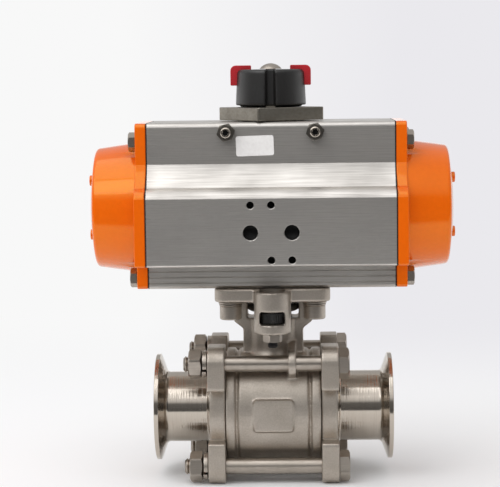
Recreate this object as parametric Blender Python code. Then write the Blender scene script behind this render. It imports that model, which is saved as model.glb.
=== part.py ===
"""Quarter-turn ball valve with clamp ends, driven by a rack-and-pinion air actuator.

The pipe runs along X, the drive axis is Z, and the air ports face -Y.
The origin lies on the ground, under the drive axis.
"""

import math

import bmesh
import bpy
from mathutils import Vector

MM = 0.001

# Fits and facets
CLEAR = 0.3 * MM
ROUND_SIDES = 28
INNER_SIDES = 20
SMALL_SIDES = 12
HOLE_SIDES = 10
THREAD_SIDES = 8
SHARP_ANGLE = math.radians(35)

# Pipe ends
FACE_TO_FACE = 142.0 * MM
FERRULE_DIAMETER = 64.0 * MM
FERRULE_RIM = 3.0 * MM
FERRULE_CONE = 3.6 * MM
FERRULE_CONE_TOP = 62.0 * MM
FERRULE_EDGE = 0.6 * MM
GASKET_GROOVE_DIAMETER = 56.5 * MM
GASKET_GROOVE_WIDTH = 2.8 * MM
GASKET_GROOVE_DEPTH = 1.4 * MM
TUBE_DIAMETER = 42.4 * MM
TUBE_WALL = 2.0 * MM
COLLAR_HEIGHT = 2.8 * MM
COLLAR_LAND = 0.4 * MM
COLLAR_LENGTH = 3.2 * MM
PORT_DIAMETER = 32.0 * MM
FLANGE_THICKNESS = 10.3 * MM
BOLT_SPACING = 61.2 * MM
EAR_RADIUS = 10.0 * MM
EAR_LENGTH = 25.2 * MM
HUB_RADIUS = 33.0 * MM
REGISTER_DEPTH = 1.0 * MM

# Ball, seats and centre body
BALL_DIAMETER = 48.0 * MM
BALL_CAVITY_GAP = 0.9 * MM
SEAT_LINE_DIAMETER = 38.0 * MM
SEAT_LIP_DIAMETER = 44.0 * MM
CENTRE_LENGTH = 56.0 * MM
CENTRE_WALL = 10.1 * MM
RIM_HEIGHT = 0.4 * MM
RIM_WIDTH = 5.3 * MM
RIM_EDGE = 0.6 * MM
RIM_GROOVE_WIDTH = 2.0 * MM
RIM_GROOVE_DEPTH = 1.2 * MM
SEAL_WIDTH = 2.2 * MM
SEAL_DEPTH = 2.2 * MM
PLATE_WIDTH = 23.3 * MM
PLATE_HEIGHT = 19.2 * MM
PLATE_PROUD = 0.8 * MM
PLATE_CORNER = 2.0 * MM
EYE_OFFSET = 11.3 * MM
EYE_WIDTH = 4.5 * MM
EYE_WALL = 3.4 * MM
EYE_WRAP = (75, 225)

# Neck, yoke and mounting pad
NECK_DIAMETER = 31.6 * MM
NECK_RISE = 54.8 * MM
NECK_FILLET = 7.0 * MM
NECK_SINK = 5.0 * MM
RIB_HALF_WIDTH = 18.0 * MM
RIB_THICKNESS = 18.0 * MM
FLARE_HEIGHT = 6.2 * MM
FLARE_LAND = 1.9 * MM
LEG_WIDTH = 6.3 * MM
YOKE_HEIGHT = 12.5 * MM
YOKE_GAP = 0.55 * MM
PAD_SIZE = 68.2 * MM
PAD_THICKNESS = 7.8 * MM
PAD_CORNER = 7.0 * MM
PAD_BOLT_SPACING = 49.5 * MM
LUG_WIDTH = 21.5 * MM
LUG_DROP = 5.6 * MM
LUG_TOP_STEP = 1.2 * MM
WINDOW_WIDTH = 14.5 * MM
WINDOW_HEIGHT = 7.6 * MM

# Stem and gland
STEM_DIAMETER = 14.4 * MM
STEM_SQUARE = 11.0 * MM
STEM_SQUARE_LENGTH = 18.0 * MM
TANG_THICKNESS = 6.0 * MM
TANG_DEPTH = 5.0 * MM
PACKING_WALL = 3.5 * MM
PACKING_HEIGHT = 11.7 * MM
PACKING_BOX_DEPTH = 15.2 * MM
GLAND_FLATS = 29.0 * MM
GLAND_HEIGHT = 5.1 * MM
GLAND_RAISE = 3.7 * MM

# Fasteners of the valve
BOLT_DIAMETER = 9.5 * MM
BOLT_FLATS = 16.0 * MM
BOLT_HEAD = 6.0 * MM
BOLT_TIP = 3.1 * MM
NUT_HEIGHT = 7.6 * MM
SPRING_WASHER_THICKNESS = 2.9 * MM
SPRING_WASHER_DIAMETER = 16.0 * MM
PAD_SCREW_DIAMETER = 8.0 * MM
PAD_SCREW_HEAD_DIAMETER = 13.0 * MM
PAD_SCREW_HEAD = 8.0 * MM
PAD_SCREW_WASHERS = 2.5 * MM
PAD_SCREW_WASHER_DIAMETER = 14.4 * MM
PAD_SCREW_REACH = 9.0 * MM
PAD_SCREW_SOCKET = 6.0 * MM
PAD_SCREW_SOCKET_DEPTH = 4.0 * MM
LOCK_SCREW_DIAMETER = 6.0 * MM
LOCK_HEAD_DIAMETER = 13.6 * MM
LOCK_HEAD = 6.8 * MM
LOCK_NUT_FLATS = 10.0 * MM
LOCK_NUT_HEIGHT = 4.9 * MM
LOCK_SCREW_TIP = 3.2 * MM

# Actuator extrusion
ACTUATOR_LENGTH = 144.0 * MM
ACTUATOR_HEIGHT = 97.2 * MM
CYLINDER_RISE = 46.2 * MM
CYLINDER_BORE = 72.0 * MM
UPPER_HALF_WIDTH = 31.5 * MM
LOWER_HALF_WIDTH = 31.0 * MM
BULGE_HALF_WIDTH = 47.0 * MM
BULGE_RISE = 14.2 * MM
BULGE_HEIGHT = 39.6 * MM
NOSE_RADIUS = 4.5 * MM
NOSE_TURN = 75
NOSE_LIP = 0.4 * MM
COVE_RADIUS = 29.6 * MM
COVE_START = 20
TOP_EDGE = 3.0 * MM
LOW_EDGE = 1.5 * MM
AIR_PORT_DIAMETER = 8.8 * MM
AIR_PORT_SPACING = 24.0 * MM
AIR_PORT_DEPTH = 8.0 * MM
VALVE_HOLE_DIAMETER = 4.3 * MM
VALVE_HOLE_SPACING = 32.0 * MM
VALVE_HOLE_DEPTH = 8.0 * MM
AIR_PORT_RISE = 34.0 * MM

# End caps
GASKET_THICKNESS = 0.6 * MM
CAP_FLANGE = 6.2 * MM
DRUM_ROOT_DIAMETER = 78.0 * MM
DRUM_END_DIAMETER = 71.0 * MM
DRUM_LENGTH = 27.6 * MM
DRUM_EDGE = 4.0 * MM
DRUM_CONE = 2.2 * MM
DRUM_FACE_DIAMETER = 41.0 * MM
CAP_WALL = 6.0 * MM
CAP_BOSS_DIAMETER = 6.0 * MM
CAP_BOSS_PROUD = 1.2 * MM
CAP_BOSS_SPACING = 32.5 * MM
CAP_SCREW_WIDTH = 48.0 * MM
CAP_SCREW_HEIGHT = 80.0 * MM
CAP_SCREW_DIAMETER = 6.0 * MM
CAP_SCREW_FLATS = 10.0 * MM
CAP_SCREW_HEAD = 4.0 * MM
CAP_SCREW_REACH = 14.0 * MM
CAP_RELIEF_DIAMETER = 18.0 * MM

# Rack, pinion and stops
MODULE = 2.0 * MM
PINION_TEETH = 14
TOOTH_FILL = 0.35
ADDENDUM = 1.8 * MM
DEDENDUM = 2.3 * MM
PRESSURE_ANGLE = math.radians(20)
GEAR_WIDTH = 20.0 * MM
RACK_BACK = 28.0 * MM
PISTON_THICKNESS = 13.0 * MM
PISTON_END_GAP = 1.5 * MM
PISTON_RING_WIDTH = 2.9 * MM
PISTON_RING_DEPTH = 2.7 * MM
JOURNAL_DIAMETER = 30.0 * MM
SHAFT_DIAMETER = 22.0 * MM
BUSH_WALL = 1.7 * MM
BUSH_FLANGE_DIAMETER = 34.0 * MM
BUSH_FLANGE = 0.7 * MM
SHOULDER_HEIGHT = 3.0 * MM
SOCKET_DEPTH = 15.0 * MM
STOP_SPACING = 51.8 * MM
STOP_DROP = 5.7 * MM
STOP_SCREW_DIAMETER = 6.0 * MM
STOP_SCREW_PROUD = 10.0 * MM
STOP_NUT_FLATS = 10.0 * MM
STOP_NUT_HEIGHT = 5.0 * MM
STOP_SOCKET = 3.2 * MM
CAM_HUB_DIAMETER = 32.0 * MM
CAM_REACH = 27.0 * MM
CAM_POCKET_GAP = 1.0 * MM
CAM_FACE_OFFSET = 1.0 * MM
CAM_THICKNESS = 8.3 * MM

# Position indicator
INDEX_PLATE_SIZE = 46.0 * MM
INDEX_PLATE_THICKNESS = 7.7 * MM
INDEX_PLATE_CORNER = 1.6 * MM
INDEX_PLATE_TURN = math.radians(32.6)
KNOB_BASE_DIAMETER = 36.6 * MM
KNOB_BASE_HEIGHT = 0.9 * MM
KNOB_ROOT_DIAMETER = 42.0 * MM
KNOB_TOP_DIAMETER = 40.0 * MM
KNOB_HEIGHT = 21.2 * MM
KNOB_EDGE = 2.4 * MM
KNOB_GROOVE_WIDTH = 3.4 * MM
KNOB_GROOVE_DEPTH = 3.0 * MM
KNOB_NOTCH_WIDTH = 5.8 * MM
POINTER_WIDTH = 6.0 * MM
POINTER_TOP = 2.2 * MM
POINTER_SIDE = 3.2 * MM
POINTER_DROP = 12.0 * MM
POINTER_INNER = 11.6 * MM
INDEX_SCREW_DIAMETER = 6.0 * MM
INDEX_SCREW_HEAD_DIAMETER = 13.4 * MM
INDEX_SCREW_HEAD = 3.3 * MM
INDEX_SCREW_REACH = 12.0 * MM

# Places worked out from the sizes above
PIPE_Z = BOLT_SPACING / 2 + EAR_RADIUS
CENTRE_HALF = CENTRE_LENGTH / 2
FLANGE_IN = CENTRE_HALF + CLEAR
FLANGE_OUT = FLANGE_IN + FLANGE_THICKNESS
CAVITY_RADIUS = BALL_DIAMETER / 2 + BALL_CAVITY_GAP
CENTRE_RADIUS = CAVITY_RADIUS + CENTRE_WALL
RIM_RADIUS = CENTRE_RADIUS + RIM_HEIGHT
BARREL_TOP = PIPE_Z + CENTRE_RADIUS
NECK_TOP = PIPE_Z + NECK_RISE
PAD_UNDER = NECK_TOP + YOKE_HEIGHT
PAD_TOP = PAD_UNDER + PAD_THICKNESS
YOKE_RADIUS = GLAND_FLATS / math.sqrt(3) + YOKE_GAP
LUG_Y = -PAD_SIZE / 2
STEM_RADIUS = STEM_DIAMETER / 2
PACKING_RADIUS = STEM_RADIUS + CLEAR + PACKING_WALL
ACTUATOR_HALF = ACTUATOR_LENGTH / 2
ACTUATOR_BOTTOM = PAD_TOP + CLEAR
ACTUATOR_TOP = ACTUATOR_BOTTOM + ACTUATOR_HEIGHT
CYLINDER_Z = ACTUATOR_BOTTOM + CYLINDER_RISE
CYLINDER_RADIUS = CYLINDER_BORE / 2
AIR_PORT_Z = ACTUATOR_BOTTOM + AIR_PORT_RISE
GASKET_IN = ACTUATOR_HALF + CLEAR
CAP_IN = GASKET_IN + GASKET_THICKNESS + CLEAR
CAP_OUT = CAP_IN + CAP_FLANGE
CAP_END = CAP_OUT + DRUM_LENGTH
PITCH_RADIUS = MODULE * PINION_TEETH / 2
TOOTH_PITCH = math.pi * MODULE
PISTON_TRAVEL = PITCH_RADIUS * math.pi / 2
PISTON_OUT = ACTUATOR_HALF - PISTON_END_GAP
PISTON_IN = PISTON_OUT - PISTON_THICKNESS
PISTON_RADIUS = CYLINDER_RADIUS - 2 * CLEAR
JOURNAL_RADIUS = JOURNAL_DIAMETER / 2
SHAFT_RADIUS = SHAFT_DIAMETER / 2
LOWER_BUSH_RADIUS = JOURNAL_RADIUS + CLEAR + BUSH_WALL
UPPER_BUSH_RADIUS = SHAFT_RADIUS + CLEAR + BUSH_WALL
BORE_FLOOR = CYLINDER_Z - CYLINDER_RADIUS
STOP_Z = ACTUATOR_TOP - STOP_DROP
POCKET_TOP = STOP_Z + STOP_SCREW_DIAMETER / 2 + CLEAR
CAM_TOP = POCKET_TOP - CLEAR
INDEX_PLATE_Z = ACTUATOR_TOP + 2 * CLEAR
INDEX_PLATE_TOP = INDEX_PLATE_Z + INDEX_PLATE_THICKNESS
PINION_TOP = INDEX_PLATE_TOP - CLEAR
KNOB_Z = INDEX_PLATE_TOP + CLEAR
KNOB_TOP = KNOB_Z + KNOB_BASE_HEIGHT + KNOB_HEIGHT
SIDES = {"left": -1, "right": 1}
LEVELS = {"upper": 1, "lower": -1}
FACES = {"front": -1, "rear": 1}

# Each finish is a colour, a roughness and a metallic value
FINISHES = {
    "cast_stainless": ((0.36, 0.34, 0.31), 0.45, 1.0),
    "polished_stainless": ((0.52, 0.49, 0.45), 0.22, 1.0),
    "bolt_stainless": ((0.45, 0.43, 0.40), 0.30, 1.0),
    "brushed_aluminium": ((0.46, 0.45, 0.44), 0.36, 1.0),
    "orange_paint": ((0.80, 0.17, 0.01), 0.25, 0.0),
    "zinc_plate": ((0.32, 0.32, 0.29), 0.42, 1.0),
    "dark_steel": ((0.20, 0.19, 0.18), 0.38, 1.0),
    "black_plastic": ((0.012, 0.012, 0.013), 0.42, 0.0),
    "red_plastic": ((0.55, 0.012, 0.018), 0.35, 0.0),
    "white_ptfe": ((0.80, 0.80, 0.77), 0.50, 0.0),
    "black_rubber": ((0.015, 0.015, 0.015), 0.70, 0.0),
    "acetal": ((0.70, 0.67, 0.58), 0.45, 0.0),
}


def arc(centre, radius, start, end, steps):
    """Points on an arc, both ends included, angles in degrees."""
    points = []
    for step in range(steps + 1):
        angle = math.radians(start + (end - start) * step / steps)
        points.append((centre[0] + radius * math.cos(angle), centre[1] + radius * math.sin(angle)))
    return points


def circle(centre, radius, sides):
    """Corners of a regular polygon that stands for a circle."""
    return arc(centre, radius, 0, 360 - 360 / sides, sides - 1)


def hexagon(centre, flats):
    """Corners of a hexagon of the given size across its flats."""
    return arc(centre, flats / math.sqrt(3), 0, 300, 5)


def rounded_rectangle(centre, width, height, radius, steps):
    """Outline of a rectangle with round corners."""
    points = []
    corners = ((1, 1, 0), (-1, 1, 90), (-1, -1, 180), (1, -1, 270))
    for along, across, start in corners:
        corner = (centre[0] + along * (width / 2 - radius), centre[1] + across * (height / 2 - radius))
        points += arc(corner, radius, start, start + 90, steps)
    return points


def rectangle(low, high):
    """Outline of a rectangle between two corners."""
    return [low, (high[0], low[1]), high, (low[0], high[1])]


def place(axis, u, v, along):
    """Point with the given length along an axis and two sizes across it."""
    if axis == "X":
        return Vector((along, u, v))
    if axis == "Y":
        return Vector((u, along, v))
    return Vector((u, v, along))


def prism(axis, outline, start, end):
    """Solid with a flat outline, extruded along an axis."""
    solid = bmesh.new()
    corners = [solid.verts.new(place(axis, u, v, start)) for u, v in outline]
    face = solid.faces.new(corners)
    raised = bmesh.ops.extrude_face_region(solid, geom=[face])
    moved = [item for item in raised["geom"] if isinstance(item, bmesh.types.BMVert)]
    bmesh.ops.translate(solid, verts=moved, vec=place(axis, 0, 0, end - start))
    bmesh.ops.recalc_face_normals(solid, faces=solid.faces)
    return solid


def turned(axis, centre, profile, sides, ring=False):
    """Solid of revolution from (radius, length) points.

    A plain profile starts and ends on the axis, and a ring profile is a closed loop.
    """
    solid = bmesh.new()
    points = [solid.verts.new(place(axis, centre[0] + radius, centre[1], along)) for radius, along in profile]
    edges = [solid.edges.new(pair) for pair in zip(points, points[1:])]
    if ring:
        edges.append(solid.edges.new((points[-1], points[0])))
    bmesh.ops.spin(
        solid,
        geom=points + edges,
        cent=place(axis, centre[0], centre[1], 0),
        axis=place(axis, 0, 0, 1),
        angle=2 * math.pi,
        steps=sides,
        use_merge=True,
    )
    bmesh.ops.remove_doubles(solid, verts=solid.verts, dist=0.001 * MM)
    bmesh.ops.recalc_face_normals(solid, faces=solid.faces)
    return solid


def rod(axis, centre, radius, start, end, sides=SMALL_SIDES):
    """Plain round bar along an axis."""
    return prism(axis, circle(centre, radius, sides), start, end)


def slab(low, high):
    """Rectangular block between two corners."""
    return prism("Z", rectangle(low[:2], high[:2]), low[2], high[2])


def finish_material(name):
    """Principled material of one finish, made on first use."""
    found = bpy.data.materials.get(name)
    if found:
        return found
    colour, roughness, metallic = FINISHES[name]
    material = bpy.data.materials.new(name)
    material.use_nodes = True
    shader = material.node_tree.nodes["Principled BSDF"]
    shader.inputs["Base Color"].default_value = (*colour, 1)
    shader.inputs["Roughness"].default_value = roughness
    shader.inputs["Metallic"].default_value = metallic
    return material


def raw_object(name, solid):
    """Object that takes over a bmesh solid."""
    mesh = bpy.data.meshes.new(name)
    solid.to_mesh(mesh)
    solid.free()
    thing = bpy.data.objects.new(name, mesh)
    bpy.context.scene.collection.objects.link(thing)
    return thing


def taken(thing):
    """Solid of an object, which is removed."""
    solid = bmesh.new()
    solid.from_mesh(thing.data)
    bpy.data.objects.remove(thing)
    return solid


def combine(thing, solids, operation):
    """Join solids to an object, or cut them out of it."""
    for solid in solids:
        tool = raw_object("tool", solid)
        modifier = thing.modifiers.new("Combine", "BOOLEAN")
        modifier.operation = operation
        modifier.object = tool
        depsgraph = bpy.context.evaluated_depsgraph_get()
        mesh = bpy.data.meshes.new_from_object(thing.evaluated_get(depsgraph))
        old = thing.data
        thing.modifiers.clear()
        thing.data = mesh
        bpy.data.objects.remove(tool)
        bpy.data.meshes.remove(old)


def piece(name, finish, solid, joined=(), cuts=(), origin=None, parent=None):
    """Named sub-part from a first solid, the solids joined to it and the solids cut from it."""
    thing = raw_object(name, solid)
    combine(thing, joined, "UNION")
    combine(thing, cuts, "DIFFERENCE")
    thing.data.name = name
    thing.data.materials.clear()
    thing.data.materials.append(finish_material(finish))
    thing.data.shade_smooth()
    thing.data.set_sharp_from_angle(angle=SHARP_ANGLE)
    if origin:
        thing.data.transform(thing.matrix_world.Translation(-Vector(origin)))
        thing.location = origin
    if parent:
        thing.parent = parent
        thing.matrix_parent_inverse = parent.matrix_basis.inverted()
    return thing


def joint_empty(name, location):
    """Empty on a joint's axis, which carries the pieces that move with it."""
    empty = bpy.data.objects.new(name, None)
    empty.location = location
    bpy.context.scene.collection.objects.link(empty)
    return empty


def four_corners(spacing_u, spacing_v):
    """Names and signed half spacings of a four-hole pattern."""
    for level, up in LEVELS.items():
        for face, out in FACES.items():
            yield f"{level}_{face}", out * spacing_u / 2, up * spacing_v / 2


def flange_outline():
    """Square flange outline in (Y, Z) with four rounded ears and a round hub between them."""
    reach = BOLT_SPACING / 2 + EAR_RADIUS
    inner = reach - EAR_LENGTH
    half_angle = math.degrees(math.asin(inner / HUB_RADIUS))
    points = []
    for quarter in range(4):
        turn = 90 * quarter
        side = arc((0, 0), HUB_RADIUS, -half_angle, half_angle, 5)
        side.append((reach, inner))
        side += arc((BOLT_SPACING / 2, BOLT_SPACING / 2), EAR_RADIUS, 0, 90, 5)
        side.append((inner, reach))
        cosine = round(math.cos(math.radians(turn)))
        sine = round(math.sin(math.radians(turn)))
        points += [(u * cosine - v * sine, PIPE_Z + u * sine + v * cosine) for u, v in side]
    return points


def pipe_end(side, sign):
    """End piece: eared flange, tube and clamp ferrule in one."""
    face = FACE_TO_FACE / 2
    tube = TUBE_DIAMETER / 2
    bore = tube - TUBE_WALL
    port = PORT_DIAMETER / 2
    rim = FERRULE_DIAMETER / 2
    groove = GASKET_GROOVE_DIAMETER / 2
    half = GASKET_GROOVE_WIDTH / 2
    start = FLANGE_IN + REGISTER_DEPTH
    cone_start = face - FERRULE_RIM - FERRULE_CONE
    loop = [(port, start), (tube + COLLAR_HEIGHT, start)]
    for along, height in arc((1, 1), 1, 180, 270, 2):
        loop.append((tube + COLLAR_HEIGHT * height, FLANGE_OUT + COLLAR_LAND + COLLAR_LENGTH * along))
    loop += [
        (tube, cone_start),
        (FERRULE_CONE_TOP / 2, face - FERRULE_RIM),
        (rim, face - FERRULE_RIM + FERRULE_EDGE),
        (rim, face - FERRULE_EDGE),
        (rim - FERRULE_EDGE, face),
        (groove + half, face),
        (groove, face - GASKET_GROOVE_DEPTH),
        (groove - half, face),
        (bore, face),
        (bore, cone_start),
        (port, FLANGE_OUT),
    ]
    axis = (0, PIPE_Z)
    ring = turned("X", axis, [(radius, sign * along) for radius, along in loop], ROUND_SIDES, ring=True)
    flange = raw_object("flange", prism("X", flange_outline(), sign * FLANGE_IN, sign * FLANGE_OUT))
    holes = [rod("X", axis, (port + tube) / 2, 0, sign * face, ROUND_SIDES)]
    for _, y, z in four_corners(BOLT_SPACING, BOLT_SPACING):
        hole = BOLT_DIAMETER / 2 + CLEAR
        holes.append(rod("X", (y, PIPE_Z + z), hole, 0, sign * face))
    combine(flange, holes, "DIFFERENCE")
    return piece(f"{side}_end", "polished_stainless", ring, joined=[taken(flange)])


def centre_profile():
    """Turned loop of the centre body: its cavity, a seal groove in each end face and a rim at each end."""
    rim_in = CENTRE_HALF - RIM_WIDTH
    middle = (CAVITY_RADIUS + RIM_RADIUS) / 2
    groove = SEAL_WIDTH / 2 + CLEAR
    floor = CENTRE_HALF - SEAL_DEPTH - CLEAR
    half = [
        (CENTRE_RADIUS, rim_in - RIM_GROOVE_WIDTH),
        (CENTRE_RADIUS - RIM_GROOVE_DEPTH, rim_in - RIM_GROOVE_WIDTH / 2),
        (RIM_RADIUS - RIM_EDGE, rim_in),
        (RIM_RADIUS, rim_in + RIM_EDGE),
        (RIM_RADIUS, CENTRE_HALF),
        (middle + groove, CENTRE_HALF),
        (middle + groove, floor),
        (middle - groove, floor),
        (middle - groove, CENTRE_HALF),
        (CAVITY_RADIUS, CENTRE_HALF),
    ]
    return [(radius, -along) for radius, along in reversed(half)] + half


def neck_profile():
    """Turned neck from inside the centre body up to the yoke, with a fillet at its foot."""
    foot = BARREL_TOP - NECK_SINK
    radius = NECK_DIAMETER / 2
    curve = arc((radius + NECK_FILLET, foot + NECK_FILLET), NECK_FILLET, 270, 180, 3)
    return [(0, PIPE_Z), (radius + NECK_FILLET, PIPE_Z)] + curve + [(radius, NECK_TOP), (0, NECK_TOP)]


def yoke_outline():
    """Outline in (X, Z) of the two side legs that flare from the neck up to the pad."""
    leg_out = YOKE_RADIUS + LEG_WIDTH
    flare = NECK_TOP - FLARE_HEIGHT
    tip = NECK_TOP - FLARE_LAND
    half = [
        (RIB_HALF_WIDTH, PIPE_Z),
        (RIB_HALF_WIDTH, flare),
        (leg_out, tip),
        (leg_out, PAD_UNDER + PAD_THICKNESS / 2),
    ]
    return half + [(-x, z) for x, z in reversed(half)]


def eye_outline():
    """Outline in (Y, Z) of the lug that wraps the upper front bolt."""
    bolt = (-BOLT_SPACING / 2, PIPE_Z + BOLT_SPACING / 2)
    radius = BOLT_DIAMETER / 2 + EYE_WALL
    root = PIPE_Z + CENTRE_RADIUS / 2
    loop = arc(bolt, radius, *EYE_WRAP, 8)
    return loop + [(-CENTRE_RADIUS / 2, root), (0, root), (0, NECK_TOP - YOKE_HEIGHT)]


def lug_outline():
    """Outline in (X, Y) of the front lug, with a half-round nose."""
    half = LUG_WIDTH / 2
    return arc((0, LUG_Y), half, 180, 360, 10) + [(half, -NECK_DIAMETER / 4), (-half, -NECK_DIAMETER / 4)]


def valve_upper():
    """Neck, side legs, nameplate, bolt eye, front lug and pad, hollowed to sit on the centre body."""
    axis = (0, PIPE_Z)
    centre = (0, 0)
    upper = raw_object("upper", turned("Z", centre, neck_profile(), INNER_SIDES))
    joined = [
        prism("Y", yoke_outline(), -RIB_THICKNESS / 2, RIB_THICKNESS / 2),
        prism(
            "Y",
            rounded_rectangle(axis, PLATE_WIDTH, PLATE_HEIGHT, PLATE_CORNER, 2),
            -CENTRE_RADIUS - PLATE_PROUD,
            -CENTRE_RADIUS / 2,
        ),
        prism("X", eye_outline(), EYE_OFFSET - EYE_WIDTH / 2, EYE_OFFSET + EYE_WIDTH / 2),
        prism("Z", lug_outline(), NECK_TOP - LUG_DROP, PAD_TOP - LUG_TOP_STEP),
        prism("Z", rounded_rectangle(centre, PAD_SIZE, PAD_SIZE, PAD_CORNER, 3), PAD_UNDER, PAD_TOP),
    ]
    combine(upper, joined, "UNION")
    saddle = (CAVITY_RADIUS + CENTRE_RADIUS) / 2
    combine(upper, [rod("X", axis, saddle, -CENTRE_LENGTH, CENTRE_LENGTH, ROUND_SIDES)], "DIFFERENCE")
    return taken(upper)


def valve_body():
    """One-piece casting: centre body, neck, yoke, front lug and mounting pad."""
    axis = (0, PIPE_Z)
    centre = (0, 0)
    over = PAD_TOP + PAD_THICKNESS
    window_low = (-WINDOW_WIDTH / 2, -PAD_SIZE, NECK_TOP)
    window_high = (WINDOW_WIDTH / 2, 0, NECK_TOP + WINDOW_HEIGHT)
    window_middle = NECK_TOP + WINDOW_HEIGHT / 2
    cuts = [
        rod("Z", centre, STEM_RADIUS + CLEAR, PIPE_Z, over, INNER_SIDES),
        rod("Z", centre, PACKING_RADIUS + CLEAR, NECK_TOP - PACKING_BOX_DEPTH, over, INNER_SIDES),
        rod("Z", centre, YOKE_RADIUS, NECK_TOP, over, INNER_SIDES),
        slab(window_low, window_high),
        rod("Z", (0, LUG_Y), WINDOW_WIDTH / 2, window_middle, over),
        rod("Z", (0, LUG_Y), LOCK_SCREW_DIAMETER / 2 + CLEAR, BARREL_TOP, window_middle, THREAD_SIDES),
        rod(
            "X",
            (-BOLT_SPACING / 2, PIPE_Z + BOLT_SPACING / 2),
            BOLT_DIAMETER / 2 + CLEAR,
            EYE_OFFSET - EYE_WIDTH,
            EYE_OFFSET + EYE_WIDTH,
        ),
    ]
    for _, x, y in four_corners(PAD_BOLT_SPACING, PAD_BOLT_SPACING):
        cuts.append(rod("Z", (x, y), PAD_SCREW_DIAMETER / 2 + CLEAR, NECK_TOP, over))
    return piece(
        "valve_body",
        "cast_stainless",
        turned("X", axis, centre_profile(), ROUND_SIDES, ring=True),
        joined=[valve_upper()],
        cuts=cuts,
    )


def ball_and_seats(turn):
    """Ball with its port and drive slot, the two seats and the two body seals."""
    axis = (0, PIPE_Z)
    radius = BALL_DIAMETER / 2
    port = PORT_DIAMETER / 2
    edge = math.degrees(math.asin(port / radius))
    outer = [(v, u) for u, v in arc((0, 0), radius, edge, 180 - edge, 8)]
    half_slot = TANG_THICKNESS / 2 + CLEAR
    floor = PIPE_Z + radius - TANG_DEPTH - CLEAR
    slot = slab((-half_slot, -BALL_DIAMETER, floor), (half_slot, BALL_DIAMETER, PIPE_Z + BALL_DIAMETER))
    piece(
        "ball",
        "polished_stainless",
        turned("X", axis, outer, INNER_SIDES, ring=True),
        cuts=[slot],
        origin=(0, 0, PIPE_Z),
        parent=turn,
    )
    lean = math.asin(SEAT_LINE_DIAMETER / BALL_DIAMETER)
    middle = (CAVITY_RADIUS + RIM_RADIUS) / 2

    def cone(at):
        """Length along the pipe at which the seat's cone has the given radius."""
        return (radius + CLEAR - at * math.sin(lean)) / math.cos(lean)

    for side, sign in SIDES.items():
        inner = port + CLEAR
        lip = SEAT_LIP_DIAMETER / 2
        outside = CAVITY_RADIUS - CLEAR
        seat = [
            (inner, cone(inner)),
            (lip, cone(lip)),
            (outside, cone(lip)),
            (outside, CENTRE_HALF),
            (inner, CENTRE_HALF),
        ]
        profile = [(at, sign * along) for at, along in seat]
        piece(f"{side}_seat", "white_ptfe", turned("X", axis, profile, ROUND_SIDES, ring=True))
        near = sign * (CENTRE_HALF - SEAL_DEPTH)
        far = sign * CENTRE_HALF
        half = SEAL_WIDTH / 2
        seal = [(middle - half, near), (middle + half, near), (middle + half, far), (middle - half, far)]
        piece(f"{side}_body_seal", "white_ptfe", turned("X", axis, seal, ROUND_SIDES, ring=True))


def stem_and_gland(turn):
    """Stem with its tang and square, the packing and the gland nut."""
    centre = (0, 0)
    foot = PIPE_Z + BALL_DIAMETER / 2 - TANG_DEPTH
    shoulder = PIPE_Z + BALL_DIAMETER / 2 + CLEAR
    top = ACTUATOR_BOTTOM + SOCKET_DEPTH - CLEAR
    square = STEM_SQUARE / 2
    side_cuts = []
    for sign in SIDES.values():
        near = sign * TANG_THICKNESS / 2
        side_cuts.append(slab(
            (min(near, sign * STEM_DIAMETER), -STEM_DIAMETER, PIPE_Z),
            (max(near, sign * STEM_DIAMETER), STEM_DIAMETER, shoulder),
        ))
    for sign in SIDES.values():
        low = min(sign * square, sign * STEM_DIAMETER)
        high = max(sign * square, sign * STEM_DIAMETER)
        start = top - STEM_SQUARE_LENGTH
        side_cuts.append(slab((low, -STEM_DIAMETER, start), (high, STEM_DIAMETER, top + STEM_DIAMETER)))
        side_cuts.append(slab((-STEM_DIAMETER, low, start), (STEM_DIAMETER, high, top + STEM_DIAMETER)))
    bar = rod("Z", centre, STEM_RADIUS, foot, top, INNER_SIDES)
    piece("stem", "dark_steel", bar, cuts=side_cuts, parent=turn)
    box_floor = NECK_TOP - PACKING_BOX_DEPTH
    inner = STEM_RADIUS + CLEAR
    low = box_floor + CLEAR
    high = low + PACKING_HEIGHT
    packing = [(inner, low), (inner, high), (PACKING_RADIUS, high), (PACKING_RADIUS, low)]
    piece("stem_packing", "white_ptfe", turned("Z", centre, packing, INNER_SIDES, ring=True))
    hex_low = NECK_TOP + GLAND_RAISE
    piece(
        "gland_nut",
        "dark_steel",
        prism("Z", hexagon(centre, GLAND_FLATS), hex_low, hex_low + GLAND_HEIGHT),
        joined=[rod("Z", centre, PACKING_RADIUS, high + CLEAR, hex_low + GLAND_HEIGHT / 2, INNER_SIDES)],
        cuts=[rod("Z", centre, inner, box_floor, PAD_TOP, INNER_SIDES)],
        parent=turn,
    )


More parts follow.
